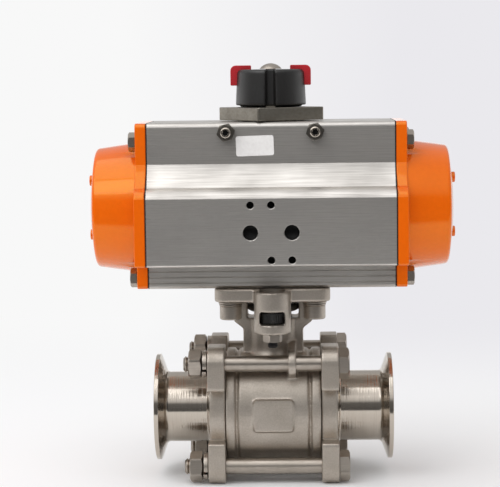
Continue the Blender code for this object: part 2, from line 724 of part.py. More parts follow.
def body_bolts():
    """Four through bolts with heads on the right, and a nut and spring washer on the left of each."""
    radius = BOLT_DIAMETER / 2
    head_in = FLANGE_OUT + CLEAR
    washer_in = -FLANGE_OUT - CLEAR
    washer_out = washer_in - SPRING_WASHER_THICKNESS
    nut_in = washer_out - CLEAR
    nut_out = nut_in - NUT_HEIGHT
    for name, y, up in four_corners(BOLT_SPACING, BOLT_SPACING):
        centre = (y, PIPE_Z + up)
        piece(
            f"body_bolt_{name}",
            "bolt_stainless",
            prism("X", hexagon(centre, BOLT_FLATS), head_in, head_in + BOLT_HEAD),
            joined=[rod("X", centre, radius, nut_out - BOLT_TIP, head_in + BOLT_HEAD / 2, SMALL_SIDES)],
        )
        bore = rod("X", centre, radius + CLEAR, nut_out - BOLT_TIP, 0)
        piece(
            f"body_nut_{name}",
            "bolt_stainless",
            prism("X", hexagon(centre, BOLT_FLATS), nut_out, nut_in),
            cuts=[bore],
        )
        outer = SPRING_WASHER_DIAMETER / 2
        inner = radius + CLEAR
        ring = [(inner, washer_out), (inner, washer_in), (outer, washer_in), (outer, washer_out)]
        piece(f"spring_washer_{name}", "bolt_stainless", turned("X", centre, ring, SMALL_SIDES, ring=True))


def pad_screws():
    """Four socket screws, each with its captive washers, from the valve's pad up into the actuator."""
    washer_top = PAD_UNDER - CLEAR
    washer_low = washer_top - PAD_SCREW_WASHERS
    head_low = washer_low - PAD_SCREW_HEAD
    tip = ACTUATOR_BOTTOM + PAD_SCREW_REACH
    radius = PAD_SCREW_DIAMETER / 2
    head = PAD_SCREW_HEAD_DIAMETER / 2
    washer = PAD_SCREW_WASHER_DIAMETER / 2
    profile = [
        (0, tip),
        (radius, tip),
        (radius, washer_top),
        (washer, washer_top),
        (washer, washer_low),
        (head, washer_low),
        (head, head_low),
        (0, head_low),
    ]
    for face, out in FACES.items():
        for side, sign in SIDES.items():
            centre = (sign * PAD_BOLT_SPACING / 2, out * PAD_BOLT_SPACING / 2)
            socket = prism(
                "Z",
                hexagon(centre, PAD_SCREW_SOCKET),
                head_low - PAD_SCREW_SOCKET_DEPTH,
                head_low + PAD_SCREW_SOCKET_DEPTH,
            )
            piece(
                f"mounting_screw_{face}_{side}",
                "bolt_stainless",
                turned("Z", centre, profile, SMALL_SIDES),
                cuts=[socket],
            )


def lock_screw():
    """Screw in the front lug's window, with the nut below the lug."""
    centre = (0, LUG_Y)
    head_low = NECK_TOP + CLEAR
    nut_top = NECK_TOP - LUG_DROP - CLEAR
    nut_low = nut_top - LOCK_NUT_HEIGHT
    tip = nut_low - LOCK_SCREW_TIP
    radius = LOCK_SCREW_DIAMETER / 2
    head = LOCK_HEAD_DIAMETER / 2
    profile = [
        (0, head_low + LOCK_HEAD),
        (head, head_low + LOCK_HEAD),
        (head, head_low),
        (radius, head_low),
        (radius, tip),
        (0, tip),
    ]
    piece("lock_screw", "black_plastic", turned("Z", centre, profile, SMALL_SIDES))
    piece(
        "lock_nut",
        "bolt_stainless",
        prism("Z", hexagon(centre, LOCK_NUT_FLATS), nut_low, nut_top),
        cuts=[rod("Z", centre, radius + CLEAR, tip, head_low, THREAD_SIDES)],
    )


def body_section():
    """Outline in (Y, Z) of the actuator extrusion, which its gaskets and end caps share."""
    bottom = ACTUATOR_BOTTOM
    top = ACTUATOR_TOP
    lower = LOWER_HALF_WIDTH
    step = ACTUATOR_BOTTOM + BULGE_RISE
    nose = arc((BULGE_HALF_WIDTH - NOSE_RADIUS, step + BULGE_HEIGHT), NOSE_RADIUS, 0, NOSE_TURN, 4)
    cove_y = UPPER_HALF_WIDTH + COVE_RADIUS * math.cos(math.radians(COVE_START))
    cove_end = nose[-1][0] - LOW_EDGE
    cove_turn = math.degrees(math.acos((cove_y - cove_end) / COVE_RADIUS))
    cove_z = nose[-1][1] + COVE_RADIUS * math.sin(math.radians(cove_turn)) + NOSE_LIP
    half = [(lower - LOW_EDGE, bottom), (lower, bottom + LOW_EDGE), (lower, step)]
    half += arc((BULGE_HALF_WIDTH - LOW_EDGE, step + LOW_EDGE), LOW_EDGE, 270, 360, 2)
    half += nose
    half += arc((cove_y, cove_z), COVE_RADIUS, 180 + cove_turn, 180 + COVE_START, 7)
    half += arc((UPPER_HALF_WIDTH - TOP_EDGE, top - TOP_EDGE), TOP_EDGE, 0, 90, 3)
    return half + [(-y, z) for y, z in reversed(half)]


def valve_pattern():
    """Places of the four threaded holes round the two air ports, as the front face has them."""
    step = AIR_PORT_SPACING / 2
    rise = VALVE_HOLE_SPACING / 2
    return [(-step, rise), (0, rise), (0, -rise), (step, -rise)]


def cap_screw_places():
    """Names and places in (Y, Z) of the four screws of an end cap."""
    for name, y, up in four_corners(CAP_SCREW_WIDTH, CAP_SCREW_HEIGHT):
        yield name, (y, CYLINDER_Z + up)


def actuator_body():
    """Extruded cylinder body with its bore, drive holes, stop holes and air ports."""
    bore_axis = (0, CYLINDER_Z)
    centre = (0, 0)
    front = -BULGE_HALF_WIDTH
    past = front - AIR_PORT_DEPTH
    over = ACTUATOR_TOP + TOP_EDGE
    under = ACTUATOR_BOTTOM - TOP_EDGE
    cuts = [
        rod("X", bore_axis, CYLINDER_RADIUS, -ACTUATOR_LENGTH, ACTUATOR_LENGTH, ROUND_SIDES),
        rod("Z", centre, LOWER_BUSH_RADIUS + CLEAR, under, CYLINDER_Z, INNER_SIDES),
        rod("Z", centre, CAM_REACH + CAM_POCKET_GAP, CYLINDER_Z, POCKET_TOP, INNER_SIDES),
        rod("Z", centre, UPPER_BUSH_RADIUS + CLEAR, CYLINDER_Z, over, INNER_SIDES),
    ]
    for sign in SIDES.values():
        port = (sign * AIR_PORT_SPACING / 2, AIR_PORT_Z)
        cuts.append(rod("Y", port, AIR_PORT_DIAMETER / 2, past, front + AIR_PORT_DEPTH))
        stop = (sign * STOP_SPACING / 2, STOP_Z)
        cuts.append(rod("Y", stop, STOP_SCREW_DIAMETER / 2 + CLEAR, past, CAM_FACE_OFFSET, THREAD_SIDES))
        for _, place_yz in cap_screw_places():
            hole = CAP_SCREW_DIAMETER / 2 + CLEAR
            inner = sign * (ACTUATOR_HALF - CAP_SCREW_REACH - CLEAR)
            cuts.append(rod("X", place_yz, hole, inner, sign * ACTUATOR_LENGTH, THREAD_SIDES))
    for x, up in valve_pattern():
        hole = (x, AIR_PORT_Z + up)
        cuts.append(rod("Y", hole, VALVE_HOLE_DIAMETER / 2, past, front + VALVE_HOLE_DEPTH, HOLE_SIDES))
    for _, x, y in four_corners(PAD_BOLT_SPACING, PAD_BOLT_SPACING):
        hole = PAD_SCREW_DIAMETER / 2 + CLEAR
        reach = ACTUATOR_BOTTOM + PAD_SCREW_REACH + CLEAR
        cuts.append(rod("Z", (x, y), hole, under, reach))
    return piece(
        "actuator_body",
        "brushed_aluminium",
        prism("X", body_section(), -ACTUATOR_HALF, ACTUATOR_HALF),
        cuts=cuts,
    )


def end_cap(side, sign):
    """End cap with its profiled flange, hollow drum and coned end, its gasket and its four screws."""
    axis = (0, CYLINDER_Z)
    root = DRUM_ROOT_DIAMETER / 2
    end = DRUM_END_DIAMETER / 2
    face = DRUM_FACE_DIAMETER / 2
    rim = CAP_END - DRUM_CONE
    side_lean = math.degrees(math.atan((root - end) / DRUM_LENGTH))
    cone_lean = math.degrees(math.atan(DRUM_CONE / (end - DRUM_EDGE - face)))
    outside = [(0, CAP_OUT - CAP_FLANGE / 2), (root, CAP_OUT - CAP_FLANGE / 2), (root, CAP_OUT)]
    outside += arc((end - DRUM_EDGE, rim - DRUM_EDGE), DRUM_EDGE, side_lean, 90 - cone_lean, 3)
    outside += [(face, CAP_END), (0, CAP_END)]
    hollow = [
        (0, CAP_IN - CAP_FLANGE),
        (end - CAP_WALL, CAP_IN - CAP_FLANGE),
        (end - CAP_WALL, rim - CAP_WALL - DRUM_EDGE),
        (end - CAP_WALL - DRUM_EDGE, rim - CAP_WALL),
        (0, rim - CAP_WALL),
    ]
    joined = [turned("X", axis, [(r, sign * a) for r, a in outside], ROUND_SIDES)]
    for up in LEVELS.values():
        boss = (0, CYLINDER_Z + up * CAP_BOSS_SPACING / 2)
        tip = sign * (CAP_END + CAP_BOSS_PROUD)
        joined.append(rod("X", boss, CAP_BOSS_DIAMETER / 2, sign * (CAP_END - CAP_WALL / 2), tip, HOLE_SIDES))
    cuts = [turned("X", axis, [(r, sign * a) for r, a in hollow], INNER_SIDES)]
    gasket_cuts = [rod("X", axis, CYLINDER_RADIUS, 0, sign * CAP_END, ROUND_SIDES)]
    hole = CAP_SCREW_DIAMETER / 2 + CLEAR
    for _, place_yz in cap_screw_places():
        cuts.append(rod("X", place_yz, hole, 0, sign * CAP_END, THREAD_SIDES))
        cuts.append(rod("X", place_yz, CAP_RELIEF_DIAMETER / 2, sign * CAP_OUT, sign * 2 * CAP_END))
        gasket_cuts.append(rod("X", place_yz, hole, 0, sign * CAP_END, THREAD_SIDES))
    piece(
        f"{side}_end_cap",
        "orange_paint",
        prism("X", body_section(), sign * CAP_IN, sign * CAP_OUT),
        joined=joined,
        cuts=cuts,
    )
    piece(
        f"{side}_cap_gasket",
        "black_rubber",
        prism("X", body_section(), sign * GASKET_IN, sign * (GASKET_IN + GASKET_THICKNESS)),
        cuts=gasket_cuts,
    )
    for name, place_yz in cap_screw_places():
        head_in = CAP_OUT + CLEAR
        tip = ACTUATOR_HALF - CAP_SCREW_REACH
        shank = rod(
            "X",
            place_yz,
            CAP_SCREW_DIAMETER / 2,
            sign * tip,
            sign * (head_in + CAP_SCREW_HEAD / 2),
            THREAD_SIDES,
        )
        head_out = head_in + CAP_SCREW_HEAD
        head = prism("X", hexagon(place_yz, CAP_SCREW_FLATS), sign * head_in, sign * head_out)
        piece(f"{side}_cap_screw_{name}", "bolt_stainless", head, joined=[shank])


def rack_outline(sign):
    """Outline in (X, Y) of a toothed rack arm, for the piston on the given side.

    The rack of the right piston runs along the front of the pinion, that of the left one along its rear.
    """
    root = PITCH_RADIUS + DEDENDUM
    tip = PITCH_RADIUS - ADDENDUM
    half = TOOTH_FILL * TOOTH_PITCH / 2
    root_half = half + DEDENDUM * math.tan(PRESSURE_ANGLE)
    tip_half = half - ADDENDUM * math.tan(PRESSURE_ANGLE)
    first = math.ceil(-(PISTON_TRAVEL + TOOTH_PITCH) / TOOTH_PITCH)
    teeth = [(step + 0.5) * TOOTH_PITCH for step in range(first, 2)]
    arm_end = teeth[-1] + TOOTH_PITCH / 2
    arm_start = -PISTON_IN - PISTON_THICKNESS / 2
    points = [(arm_start, RACK_BACK), (arm_start, root)]
    for along in teeth:
        flank = ((-root_half, root), (-tip_half, tip), (tip_half, tip), (root_half, root))
        points += [(along + offset, y) for offset, y in flank]
    points += [(arm_end, root), (arm_end, RACK_BACK)]
    return [(-sign * x, -sign * y) for x, y in points]


def pistons():
    """Two pistons, each with its rack arm and its ring, at the open end of their stroke."""
    axis = (0, CYLINDER_Z)
    ring_middle = (PISTON_IN + PISTON_OUT) / 2
    groove_half = PISTON_RING_WIDTH / 2 + CLEAR
    groove_floor = PISTON_RADIUS - PISTON_RING_DEPTH
    low = CYLINDER_Z - GEAR_WIDTH / 2
    for side, sign in SIDES.items():
        carrier = joint_empty(f"{side}_piston_axis", (sign * PISTON_IN, 0, CYLINDER_Z))
        disc = [
            (0, PISTON_IN),
            (PISTON_RADIUS, PISTON_IN),
            (PISTON_RADIUS, ring_middle - groove_half),
            (groove_floor, ring_middle - groove_half),
            (groove_floor, ring_middle + groove_half),
            (PISTON_RADIUS, ring_middle + groove_half),
            (PISTON_RADIUS, PISTON_OUT),
            (0, PISTON_OUT),
        ]
        profile = [(radius, sign * along) for radius, along in disc]
        piece(
            f"{side}_piston",
            "brushed_aluminium",
            turned("X", axis, profile, ROUND_SIDES),
            joined=[prism("Z", rack_outline(sign), low, low + GEAR_WIDTH)],
            origin=tuple(carrier.location),
            parent=carrier,
        )
        inner = groove_floor + CLEAR
        outer = PISTON_RADIUS + CLEAR
        near = sign * (ring_middle - PISTON_RING_WIDTH / 2)
        far = sign * (ring_middle + PISTON_RING_WIDTH / 2)
        ring = [(inner, near), (inner, far), (outer, far), (outer, near)]
        piece(
            f"{side}_piston_ring",
            "black_rubber",
            turned("X", axis, ring, ROUND_SIDES, ring=True),
            origin=tuple(carrier.location),
            parent=carrier,
        )


def gear_outline():
    """Outline in (X, Y) of the pinion teeth, one tooth facing each rack."""
    root = PITCH_RADIUS - DEDENDUM
    tip = PITCH_RADIUS + ADDENDUM
    half = TOOTH_FILL * TOOTH_PITCH / 2
    root_half = (half + DEDENDUM * math.tan(PRESSURE_ANGLE)) / root
    tip_half = (half - ADDENDUM * math.tan(PRESSURE_ANGLE)) / tip
    points = []
    for tooth in range(PINION_TEETH):
        middle = math.pi / 2 + 2 * math.pi * tooth / PINION_TEETH
        flank = ((root, -root_half), (tip, -tip_half), (tip, tip_half), (root, root_half))
        points += [(r * math.cos(middle + a), r * math.sin(middle + a)) for r, a in flank]
    return points


def pinion_and_stops(turn):
    """Pinion shaft with its bushes, the stop cam, and the two stop screws with their nuts."""
    centre = (0, 0)
    foot = ACTUATOR_BOTTOM + CLEAR
    gear_low = CYLINDER_Z - GEAR_WIDTH / 2 + CLEAR
    gear_high = CYLINDER_Z + GEAR_WIDTH / 2 - CLEAR
    shoulder = BORE_FLOOR + CLEAR
    shaft = [
        (0, PINION_TOP),
        (SHAFT_RADIUS, PINION_TOP),
        (SHAFT_RADIUS, shoulder + SHOULDER_HEIGHT),
        (LOWER_BUSH_RADIUS, shoulder + SHOULDER_HEIGHT),
        (LOWER_BUSH_RADIUS, shoulder),
        (JOURNAL_RADIUS, shoulder),
        (JOURNAL_RADIUS, foot),
        (0, foot),
    ]
    half = STEM_SQUARE / 2 + CLEAR
    socket = slab((-half, -half, PAD_UNDER), (half, half, ACTUATOR_BOTTOM + SOCKET_DEPTH))
    tapped = rod(
        "Z",
        centre,
        INDEX_SCREW_DIAMETER / 2 + CLEAR,
        PINION_TOP - INDEX_SCREW_REACH - CLEAR,
        KNOB_TOP,
        THREAD_SIDES,
    )
    piece(
        "pinion",
        "dark_steel",
        turned("Z", centre, shaft, INNER_SIDES),
        joined=[prism("Z", gear_outline(), gear_low, gear_high)],
        cuts=[socket, tapped],
        parent=turn,
    )
    inner = JOURNAL_RADIUS + CLEAR
    low = ACTUATOR_BOTTOM + CLEAR
    lower = [(inner, low), (inner, BORE_FLOOR), (LOWER_BUSH_RADIUS, BORE_FLOOR), (LOWER_BUSH_RADIUS, low)]
    piece("lower_pinion_bearing", "acetal", turned("Z", centre, lower, INNER_SIDES, ring=True))
    inner = SHAFT_RADIUS + CLEAR
    flange_low = ACTUATOR_TOP + CLEAR
    flange_top = flange_low + BUSH_FLANGE
    upper = [
        (inner, CAM_TOP + CLEAR),
        (inner, flange_top),
        (BUSH_FLANGE_DIAMETER / 2, flange_top),
        (BUSH_FLANGE_DIAMETER / 2, flange_low),
        (UPPER_BUSH_RADIUS, flange_low),
        (UPPER_BUSH_RADIUS, CAM_TOP + CLEAR),
    ]
    piece("upper_pinion_bearing", "acetal", turned("Z", centre, upper, INNER_SIDES, ring=True))
    start = 90 + math.degrees(math.asin(CAM_FACE_OFFSET / CAM_REACH))
    end = 180 - math.degrees(math.asin(CAM_FACE_OFFSET / CAM_REACH))
    lobe = [(-CAM_FACE_OFFSET, CAM_FACE_OFFSET)] + arc(centre, CAM_REACH, start, end, 6)
    cam_low = CAM_TOP - CAM_THICKNESS
    piece(
        "stop_cam",
        "dark_steel",
        rod("Z", centre, CAM_HUB_DIAMETER / 2, cam_low, CAM_TOP, INNER_SIDES),
        joined=[prism("Z", lobe, cam_low, CAM_TOP)],
        cuts=[rod("Z", centre, SHAFT_RADIUS + CLEAR, CYLINDER_Z, KNOB_TOP, INNER_SIDES)],
        parent=turn,
    )
    wall = -UPPER_HALF_WIDTH
    for side, sign in SIDES.items():
        at = (sign * STOP_SPACING / 2, STOP_Z)
        outer = wall - STOP_SCREW_PROUD
        socket_floor = outer + STOP_SOCKET
        piece(
            f"{side}_stop_screw",
            "bolt_stainless",
            rod("Y", at, STOP_SCREW_DIAMETER / 2, outer, CAM_FACE_OFFSET - CLEAR, THREAD_SIDES),
            cuts=[prism("Y", hexagon(at, STOP_SOCKET), outer - STOP_SOCKET, socket_floor)],
        )
        piece(
            f"{side}_stop_nut",
            "bolt_stainless",
            prism("Y", hexagon(at, STOP_NUT_FLATS), wall - CLEAR - STOP_NUT_HEIGHT, wall - CLEAR),
            cuts=[rod("Y", at, STOP_SCREW_DIAMETER / 2 + CLEAR, outer, 0, THREAD_SIDES)],
        )


def indicator(turn):
    """Index plate, slotted knob, two pointers and the screw that holds them on the pinion."""
    centre = (0, 0)
    square = rounded_rectangle(centre, INDEX_PLATE_SIZE, INDEX_PLATE_SIZE, INDEX_PLATE_CORNER, 2)
    cosine = math.cos(INDEX_PLATE_TURN)
    sine = math.sin(INDEX_PLATE_TURN)
    outline = [(x * cosine - y * sine, x * sine + y * cosine) for x, y in square]
    base = KNOB_BASE_DIAMETER / 2
    root = KNOB_ROOT_DIAMETER / 2
    top = KNOB_TOP_DIAMETER / 2
    skirt = KNOB_Z + KNOB_BASE_HEIGHT
    key_half = KNOB_NOTCH_WIDTH / 2 - CLEAR
    key_back = KNOB_GROOVE_DEPTH - base - CLEAR
    recess = ACTUATOR_TOP + BUSH_FLANGE + 2 * CLEAR
    piece(
        "indicator_plate",
        "zinc_plate",
        prism("Z", outline, INDEX_PLATE_Z, INDEX_PLATE_TOP),
        joined=[slab((-key_half, -base, INDEX_PLATE_Z + CLEAR), (key_half, key_back, skirt - CLEAR))],
        cuts=[
            rod("Z", centre, BUSH_FLANGE_DIAMETER / 2 + CLEAR, ACTUATOR_TOP, recess, ROUND_SIDES),
            rod("Z", centre, SHAFT_RADIUS + CLEAR, ACTUATOR_TOP, KNOB_TOP, INNER_SIDES),
        ],
        parent=turn,
    )
    profile = [(0, KNOB_TOP)]
    profile += arc((top - KNOB_EDGE, KNOB_TOP - KNOB_EDGE), KNOB_EDGE, 90, 0, 3)
    profile += [(root, skirt), (base, skirt), (base, KNOB_Z), (0, KNOB_Z)]
    cuts = [rod("Z", centre, INDEX_SCREW_DIAMETER / 2 + CLEAR, ACTUATOR_TOP, 2 * KNOB_TOP, THREAD_SIDES)]
    for out in FACES.values():
        far = out * 2 * root
        near = out * (root - KNOB_GROOVE_DEPTH)
        low = (-KNOB_GROOVE_WIDTH / 2, min(near, far), ACTUATOR_TOP)
        cuts.append(slab(low, (KNOB_GROOVE_WIDTH / 2, max(near, far), 2 * KNOB_TOP)))
        near = out * (base - KNOB_GROOVE_DEPTH)
        low = (-KNOB_NOTCH_WIDTH / 2, min(near, far), ACTUATOR_TOP)
        cuts.append(slab(low, (KNOB_NOTCH_WIDTH / 2, max(near, far), skirt)))
    drum = turned("Z", centre, profile, ROUND_SIDES)
    piece("indicator_knob", "black_plastic", drum, cuts=cuts, parent=turn)
    side_in = root + CLEAR - (root - top) / 2
    side_out = side_in + POINTER_SIDE
    under = KNOB_TOP + CLEAR
    crest = under + POINTER_TOP
    for side, sign in SIDES.items():
        half = [(POINTER_INNER, under), (side_in, under), (side_in, crest - POINTER_DROP)]
        half += [(side_out, crest - POINTER_DROP)]
        half += arc((side_out - POINTER_SIDE, crest - POINTER_SIDE), POINTER_SIDE, 0, 90, 4)
        half += [(POINTER_INNER, crest)]
        outline = [(sign * x, z) for x, z in half]
        piece(
            f"{side}_pointer",
            "red_plastic",
            prism("Y", outline, -POINTER_WIDTH / 2, POINTER_WIDTH / 2),
            parent=turn,
        )
    radius = INDEX_SCREW_DIAMETER / 2
    head = INDEX_SCREW_HEAD_DIAMETER / 2
    dome = (head ** 2 + INDEX_SCREW_HEAD ** 2) / (2 * INDEX_SCREW_HEAD)
    spread = math.degrees(math.asin(head / dome))
    crown = arc((0, under + INDEX_SCREW_HEAD - dome), dome, 90, 90 - spread, 5)
    tip = PINION_TOP - INDEX_SCREW_REACH
    profile = crown + [(radius, under), (radius, tip), (0, tip)]
    piece("indicator_screw", "polished_stainless", turned("Z", centre, profile, SMALL_SIDES), parent=turn)


def main():
    """Clear the scene and build the whole part."""
    for thing in list(bpy.data.objects):
        bpy.data.objects.remove(thing)
    turn = joint_empty("turn_axis", (0, 0, CYLINDER_Z))
    valve_body()
    for side, sign in SIDES.items():
        pipe_end(side, sign)
    ball_and_seats(turn)
    stem_and_gland(turn)
    body_bolts()
    pad_screws()
    lock_screw()
    actuator_body()
    for side, sign in SIDES.items():
        end_cap(side, sign)
    pistons()
    pinion_and_stops(turn)
    indicator(turn)


main()
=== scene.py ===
"""Looks of an air-driven ball valve: fine meshes, finishes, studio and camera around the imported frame.

Sizes are in millimetres, in the frame's own axes: pipe along X, drive axis along Z, air ports towards -Y.
"""

import logging
import math
from dataclasses import dataclass
from enum import Enum
from typing import Callable, Sequence

import bmesh
import bpy
from mathutils import Matrix, Vector


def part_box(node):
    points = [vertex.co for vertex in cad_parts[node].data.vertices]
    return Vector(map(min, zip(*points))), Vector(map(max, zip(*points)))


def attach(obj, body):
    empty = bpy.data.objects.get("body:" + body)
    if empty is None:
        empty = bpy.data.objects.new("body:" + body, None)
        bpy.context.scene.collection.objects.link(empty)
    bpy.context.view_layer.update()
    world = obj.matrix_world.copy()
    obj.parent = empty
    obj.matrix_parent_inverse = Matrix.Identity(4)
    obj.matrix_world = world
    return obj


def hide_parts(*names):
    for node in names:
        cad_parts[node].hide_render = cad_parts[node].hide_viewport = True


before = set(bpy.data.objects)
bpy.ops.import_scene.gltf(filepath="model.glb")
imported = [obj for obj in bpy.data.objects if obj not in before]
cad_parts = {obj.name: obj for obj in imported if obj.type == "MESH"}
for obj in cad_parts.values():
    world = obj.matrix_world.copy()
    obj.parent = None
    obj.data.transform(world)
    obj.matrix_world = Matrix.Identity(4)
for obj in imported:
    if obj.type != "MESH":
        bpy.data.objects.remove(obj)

LOG = logging.getLogger("valve")
MM = 0.001
POLE = 1e-6
CREASE = math.radians(36)
FINE_CREASE = math.radians(19)
WIDE_SIDES = 128
ROUND_SIDES = 96
SMALL_SIDES = 48
# Cutters have a count of their own, so that their edges never lie on the edges of what they cut.
CUT_SIDES = 86
HEX_SIDES = 72
# Share of a hexagon's size across flats that its flat face keeps, and the slope of the chamfer beside it.
HEX_FACE = 0.475
HEX_SLOPE = math.tan(math.radians(30))
# Depth of a thread as a share of its pitch, and the play of a nut on it.
THREAD_DEPTH = 0.55
THREAD_PLAY = 0.1
# Keeps a cut off a face that would lie in its plane.
HAIR = 0.05
# Roughness of every clear coat, and the range of the summed noises that the colours are spread over.
COAT_ROUGHNESS = 0.06
NOISE_RANGE = (0.7, 1.3)
# The four corners around an axis, in the order that the solids are joined and cut in.
QUARTERS = ((-1, -1), (-1, 1), (1, -1), (1, 1))

Outline = list[tuple[float, float]]
Corner = tuple[float, float, float]
Varying = float | Callable[[float], float]
Solid = bmesh.types.BMesh


class Axis(Enum):
    """Direction that a solid is turned about or extruded along."""

    X = "X"
    Y = "Y"
    Z = "Z"


class Side(Enum):
    """Left or right half of the valve, with the sign of its X."""

    LEFT = -1
    RIGHT = 1

    @property
    def word(self) -> str:
        """Plain name of the side."""
        return self.name.lower()


class Body(Enum):
    """Rigid bodies of the frame that pieces ride on."""

    HOUSING = "housing"
    ROTOR = "rotor"


def place(axis: Axis, u: float, v: float, along: float) -> Vector:
    """Point in metres from a length along an axis and two lengths across it."""
    order = {Axis.X: (along, u, v), Axis.Y: (u, along, v), Axis.Z: (u, v, along)}
    return Vector(order[axis]) * MM


def span(node: str) -> tuple[Vector, Vector]:
    """Lowest and highest corners of a frame node, in millimetres."""
    low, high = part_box(node)
    return low / MM, high / MM


def axis_at(node: str, axis: Axis) -> tuple[float, float]:
    """Where the middle of a frame node lies across an axis, in millimetres.

    Args:
        node: Name of the node.
        axis: Direction that the two lengths are across.

    Returns:
        The two lengths, in the order that place takes them.
    """
    low, high = span(node)
    middle = [(first + second) / 2 for first, second in zip(low, high)]
    del middle[list(Axis).index(axis)]
    return tuple(middle)


def arc(centre: tuple[float, float], radius: float, start: float, end: float, steps: int) -> Outline:
    """Points on an arc, both ends included.

    Args:
        centre: Middle of the arc.
        radius: Its radius.
        start: First angle in degrees.
        end: Last angle in degrees.
        steps: Number of straight steps.

    Returns:
        The points in order.
    """
    points = []
    for step in range(steps + 1):
        angle = math.radians(start + (end - start) * step / steps)
        points.append((centre[0] + radius * math.cos(angle), centre[1] + radius * math.sin(angle)))
    return points


def soften(corners: Sequence[Corner], steps: int = 6) -> Outline:
    """Closed outline whose corners are rounded.

    Args:
        corners: Each corner's two lengths and its fillet radius, which may be 0.
        steps: Straight steps in each fillet.

    Returns:
        The outline with each fillet as an arc.
    """
    points: Outline = []
    count = len(corners)
    for index, (u, v, radius) in enumerate(corners):
        here = Vector((u, v))
        before = Vector(corners[index - 1][:2]) - here
        after = Vector(corners[(index + 1) % count][:2]) - here
        half = before.angle(after) / 2
        if radius <= 0 or half > math.pi / 2 - 0.01:
            points.append((u, v))
            continue
        reach = min(radius / math.tan(half), 0.49 * before.length, 0.49 * after.length)
        radius = reach * math.tan(half)
        middle = here + (before.normalized() + after.normalized()).normalized() * radius / math.sin(half)
        first = here + before.normalized() * reach - middle
        last = here + after.normalized() * reach - middle
        start = math.degrees(math.atan2(first.y, first.x))
        turn = math.degrees(math.atan2(first.cross(last), first.dot(last)))
        points += arc(tuple(middle), radius, start, start + turn, steps)
    return points


def rounded_rectangle(size: tuple[float, float], radius: float, centre: tuple[float, float] = (0, 0),
                      turn: float = 0.0) -> Outline:
    """Rectangle with rounded corners.

    Args:
        size: Its two sides.
        radius: Radius of its corners.
        centre: Where its middle lies.
        turn: Angle that it is turned by, in degrees.

    Returns:
        The closed outline.
    """
    wide, tall = (side / 2 for side in size)
    ring = ((-wide, -tall), (wide, -tall), (wide, tall), (-wide, tall))
    corners = soften([(u, v, radius) for u, v in ring])
    cos = math.cos(math.radians(turn))
    sin = math.sin(math.radians(turn))
    return [(centre[0] + u * cos - v * sin, centre[1] + u * sin + v * cos) for u, v in corners]


def signed_area(outline: Outline) -> float:
    """Area of an outline, positive when it runs anticlockwise."""
    pairs = zip(outline, outline[1:] + outline[:1])
    return sum(a[0] * b[1] - a[1] * b[0] for a, b in pairs) / 2


def inset(outline: Outline, depth: float) -> Outline:
    """Outline moved inwards.

    Args:
        outline: Closed outline that runs anticlockwise.
        depth: How far each side moves.

    Returns:
        The smaller outline, with as many points.
    """
    points = []
    count = len(outline)
    for index, here in enumerate(outline):
        corner = Vector(here)
        along = (corner - Vector(outline[index - 1])).normalized()
        onward = (Vector(outline[(index + 1) % count]) - corner).normalized()
        first = Vector((-along.y, along.x))
        second = Vector((-onward.y, onward.x))
        moved = corner + (first + second) * depth / max(1 + first.dot(second), 0.2)
        points.append(tuple(moved))
    return points


def prism(axis: Axis, outline: Outline, start: float, end: float, edge: float = 0.0, steps: int = 3,
          taper: float = 0.0) -> Solid:
    """Extruded outline with rounded rims.

    Args:
        axis: Direction of the extrusion.
        outline: Closed outline across it.
        start: Where the extrusion starts.
        end: Where it ends.
        edge: Radius of both rims.
        steps: Straight steps in each rim.
        taper: How far the end is drawn in from the start.

    Returns:
        The closed solid.
    """
    if signed_area(outline) < 0:
        outline = outline[::-1]
    sign = math.copysign(1, end - start)
    turns = [math.pi / 2 * step / steps for step in range(steps + 1)] if edge else [math.pi / 2]
    low = [(edge * (1 - math.sin(turn)), start + sign * edge * (1 - math.cos(turn))) for turn in turns]
    high = [(edge * (1 - math.sin(turn)) + taper, end - sign * edge * (1 - math.cos(turn))) for turn in turns]
    solid = bmesh.new()
    loops = []
    for depth, along in low + high[::-1]:
        shape = inset(outline, depth)
        loops.append([solid.verts.new(place(axis, u, v, along)) for u, v in shape])
    for first, second in zip(loops, loops[1:]):
        for index in range(len(outline)):
            solid.faces.new((first[index - 1], first[index], second[index], second[index - 1]))
    solid.faces.new(loops[0])
    solid.faces.new(loops[-1])
    bmesh.ops.recalc_face_normals(solid, faces=solid.faces)
    return solid


def at_angle(value: Varying, angle: float) -> float:
    """Value of a length that may vary round the axis."""
    return value(angle) if callable(value) else value


def lofted(axis: Axis, centre: tuple[float, float], rows: Sequence[tuple[Varying, Varying]],
           sides: int = ROUND_SIDES, ring: bool = False) -> Solid:
    """Closed surface round an axis.

    Args:
        axis: Axis that the surface goes round.
        centre: Where the axis lies across its direction.
        rows: Radius and length of each row, as numbers or as functions of the angle.
        sides: Columns round the axis.
        ring: Whether the last row joins the first, as in a ring.

    Returns:
        The closed solid.
    """
    solid = bmesh.new()
    loops = []
    for radius, along in rows:
        if not callable(radius) and radius < POLE:
            pole = solid.verts.new(place(axis, *centre, at_angle(along, 0)))
            loops.append([pole] * sides)
            continue
        loop = []
        for column in range(sides):
            angle = 2 * math.pi * column / sides
            reach = at_angle(radius, angle)
            u = centre[0] + reach * math.cos(angle)
            v = centre[1] + reach * math.sin(angle)
            loop.append(solid.verts.new(place(axis, u, v, at_angle(along, angle))))
        loops.append(loop)
    pairs = list(zip(loops, loops[1:]))
    if ring:
        pairs.append((loops[-1], loops[0]))
    for first, second in pairs:
        for column in range(sides):
            corners = (first[column - 1], first[column], second[column], second[column - 1])
            distinct = list(dict.fromkeys(corners))
            if len(distinct) > 2:
                solid.faces.new(distinct)
    bmesh.ops.recalc_face_normals(solid, faces=solid.faces)
    return solid


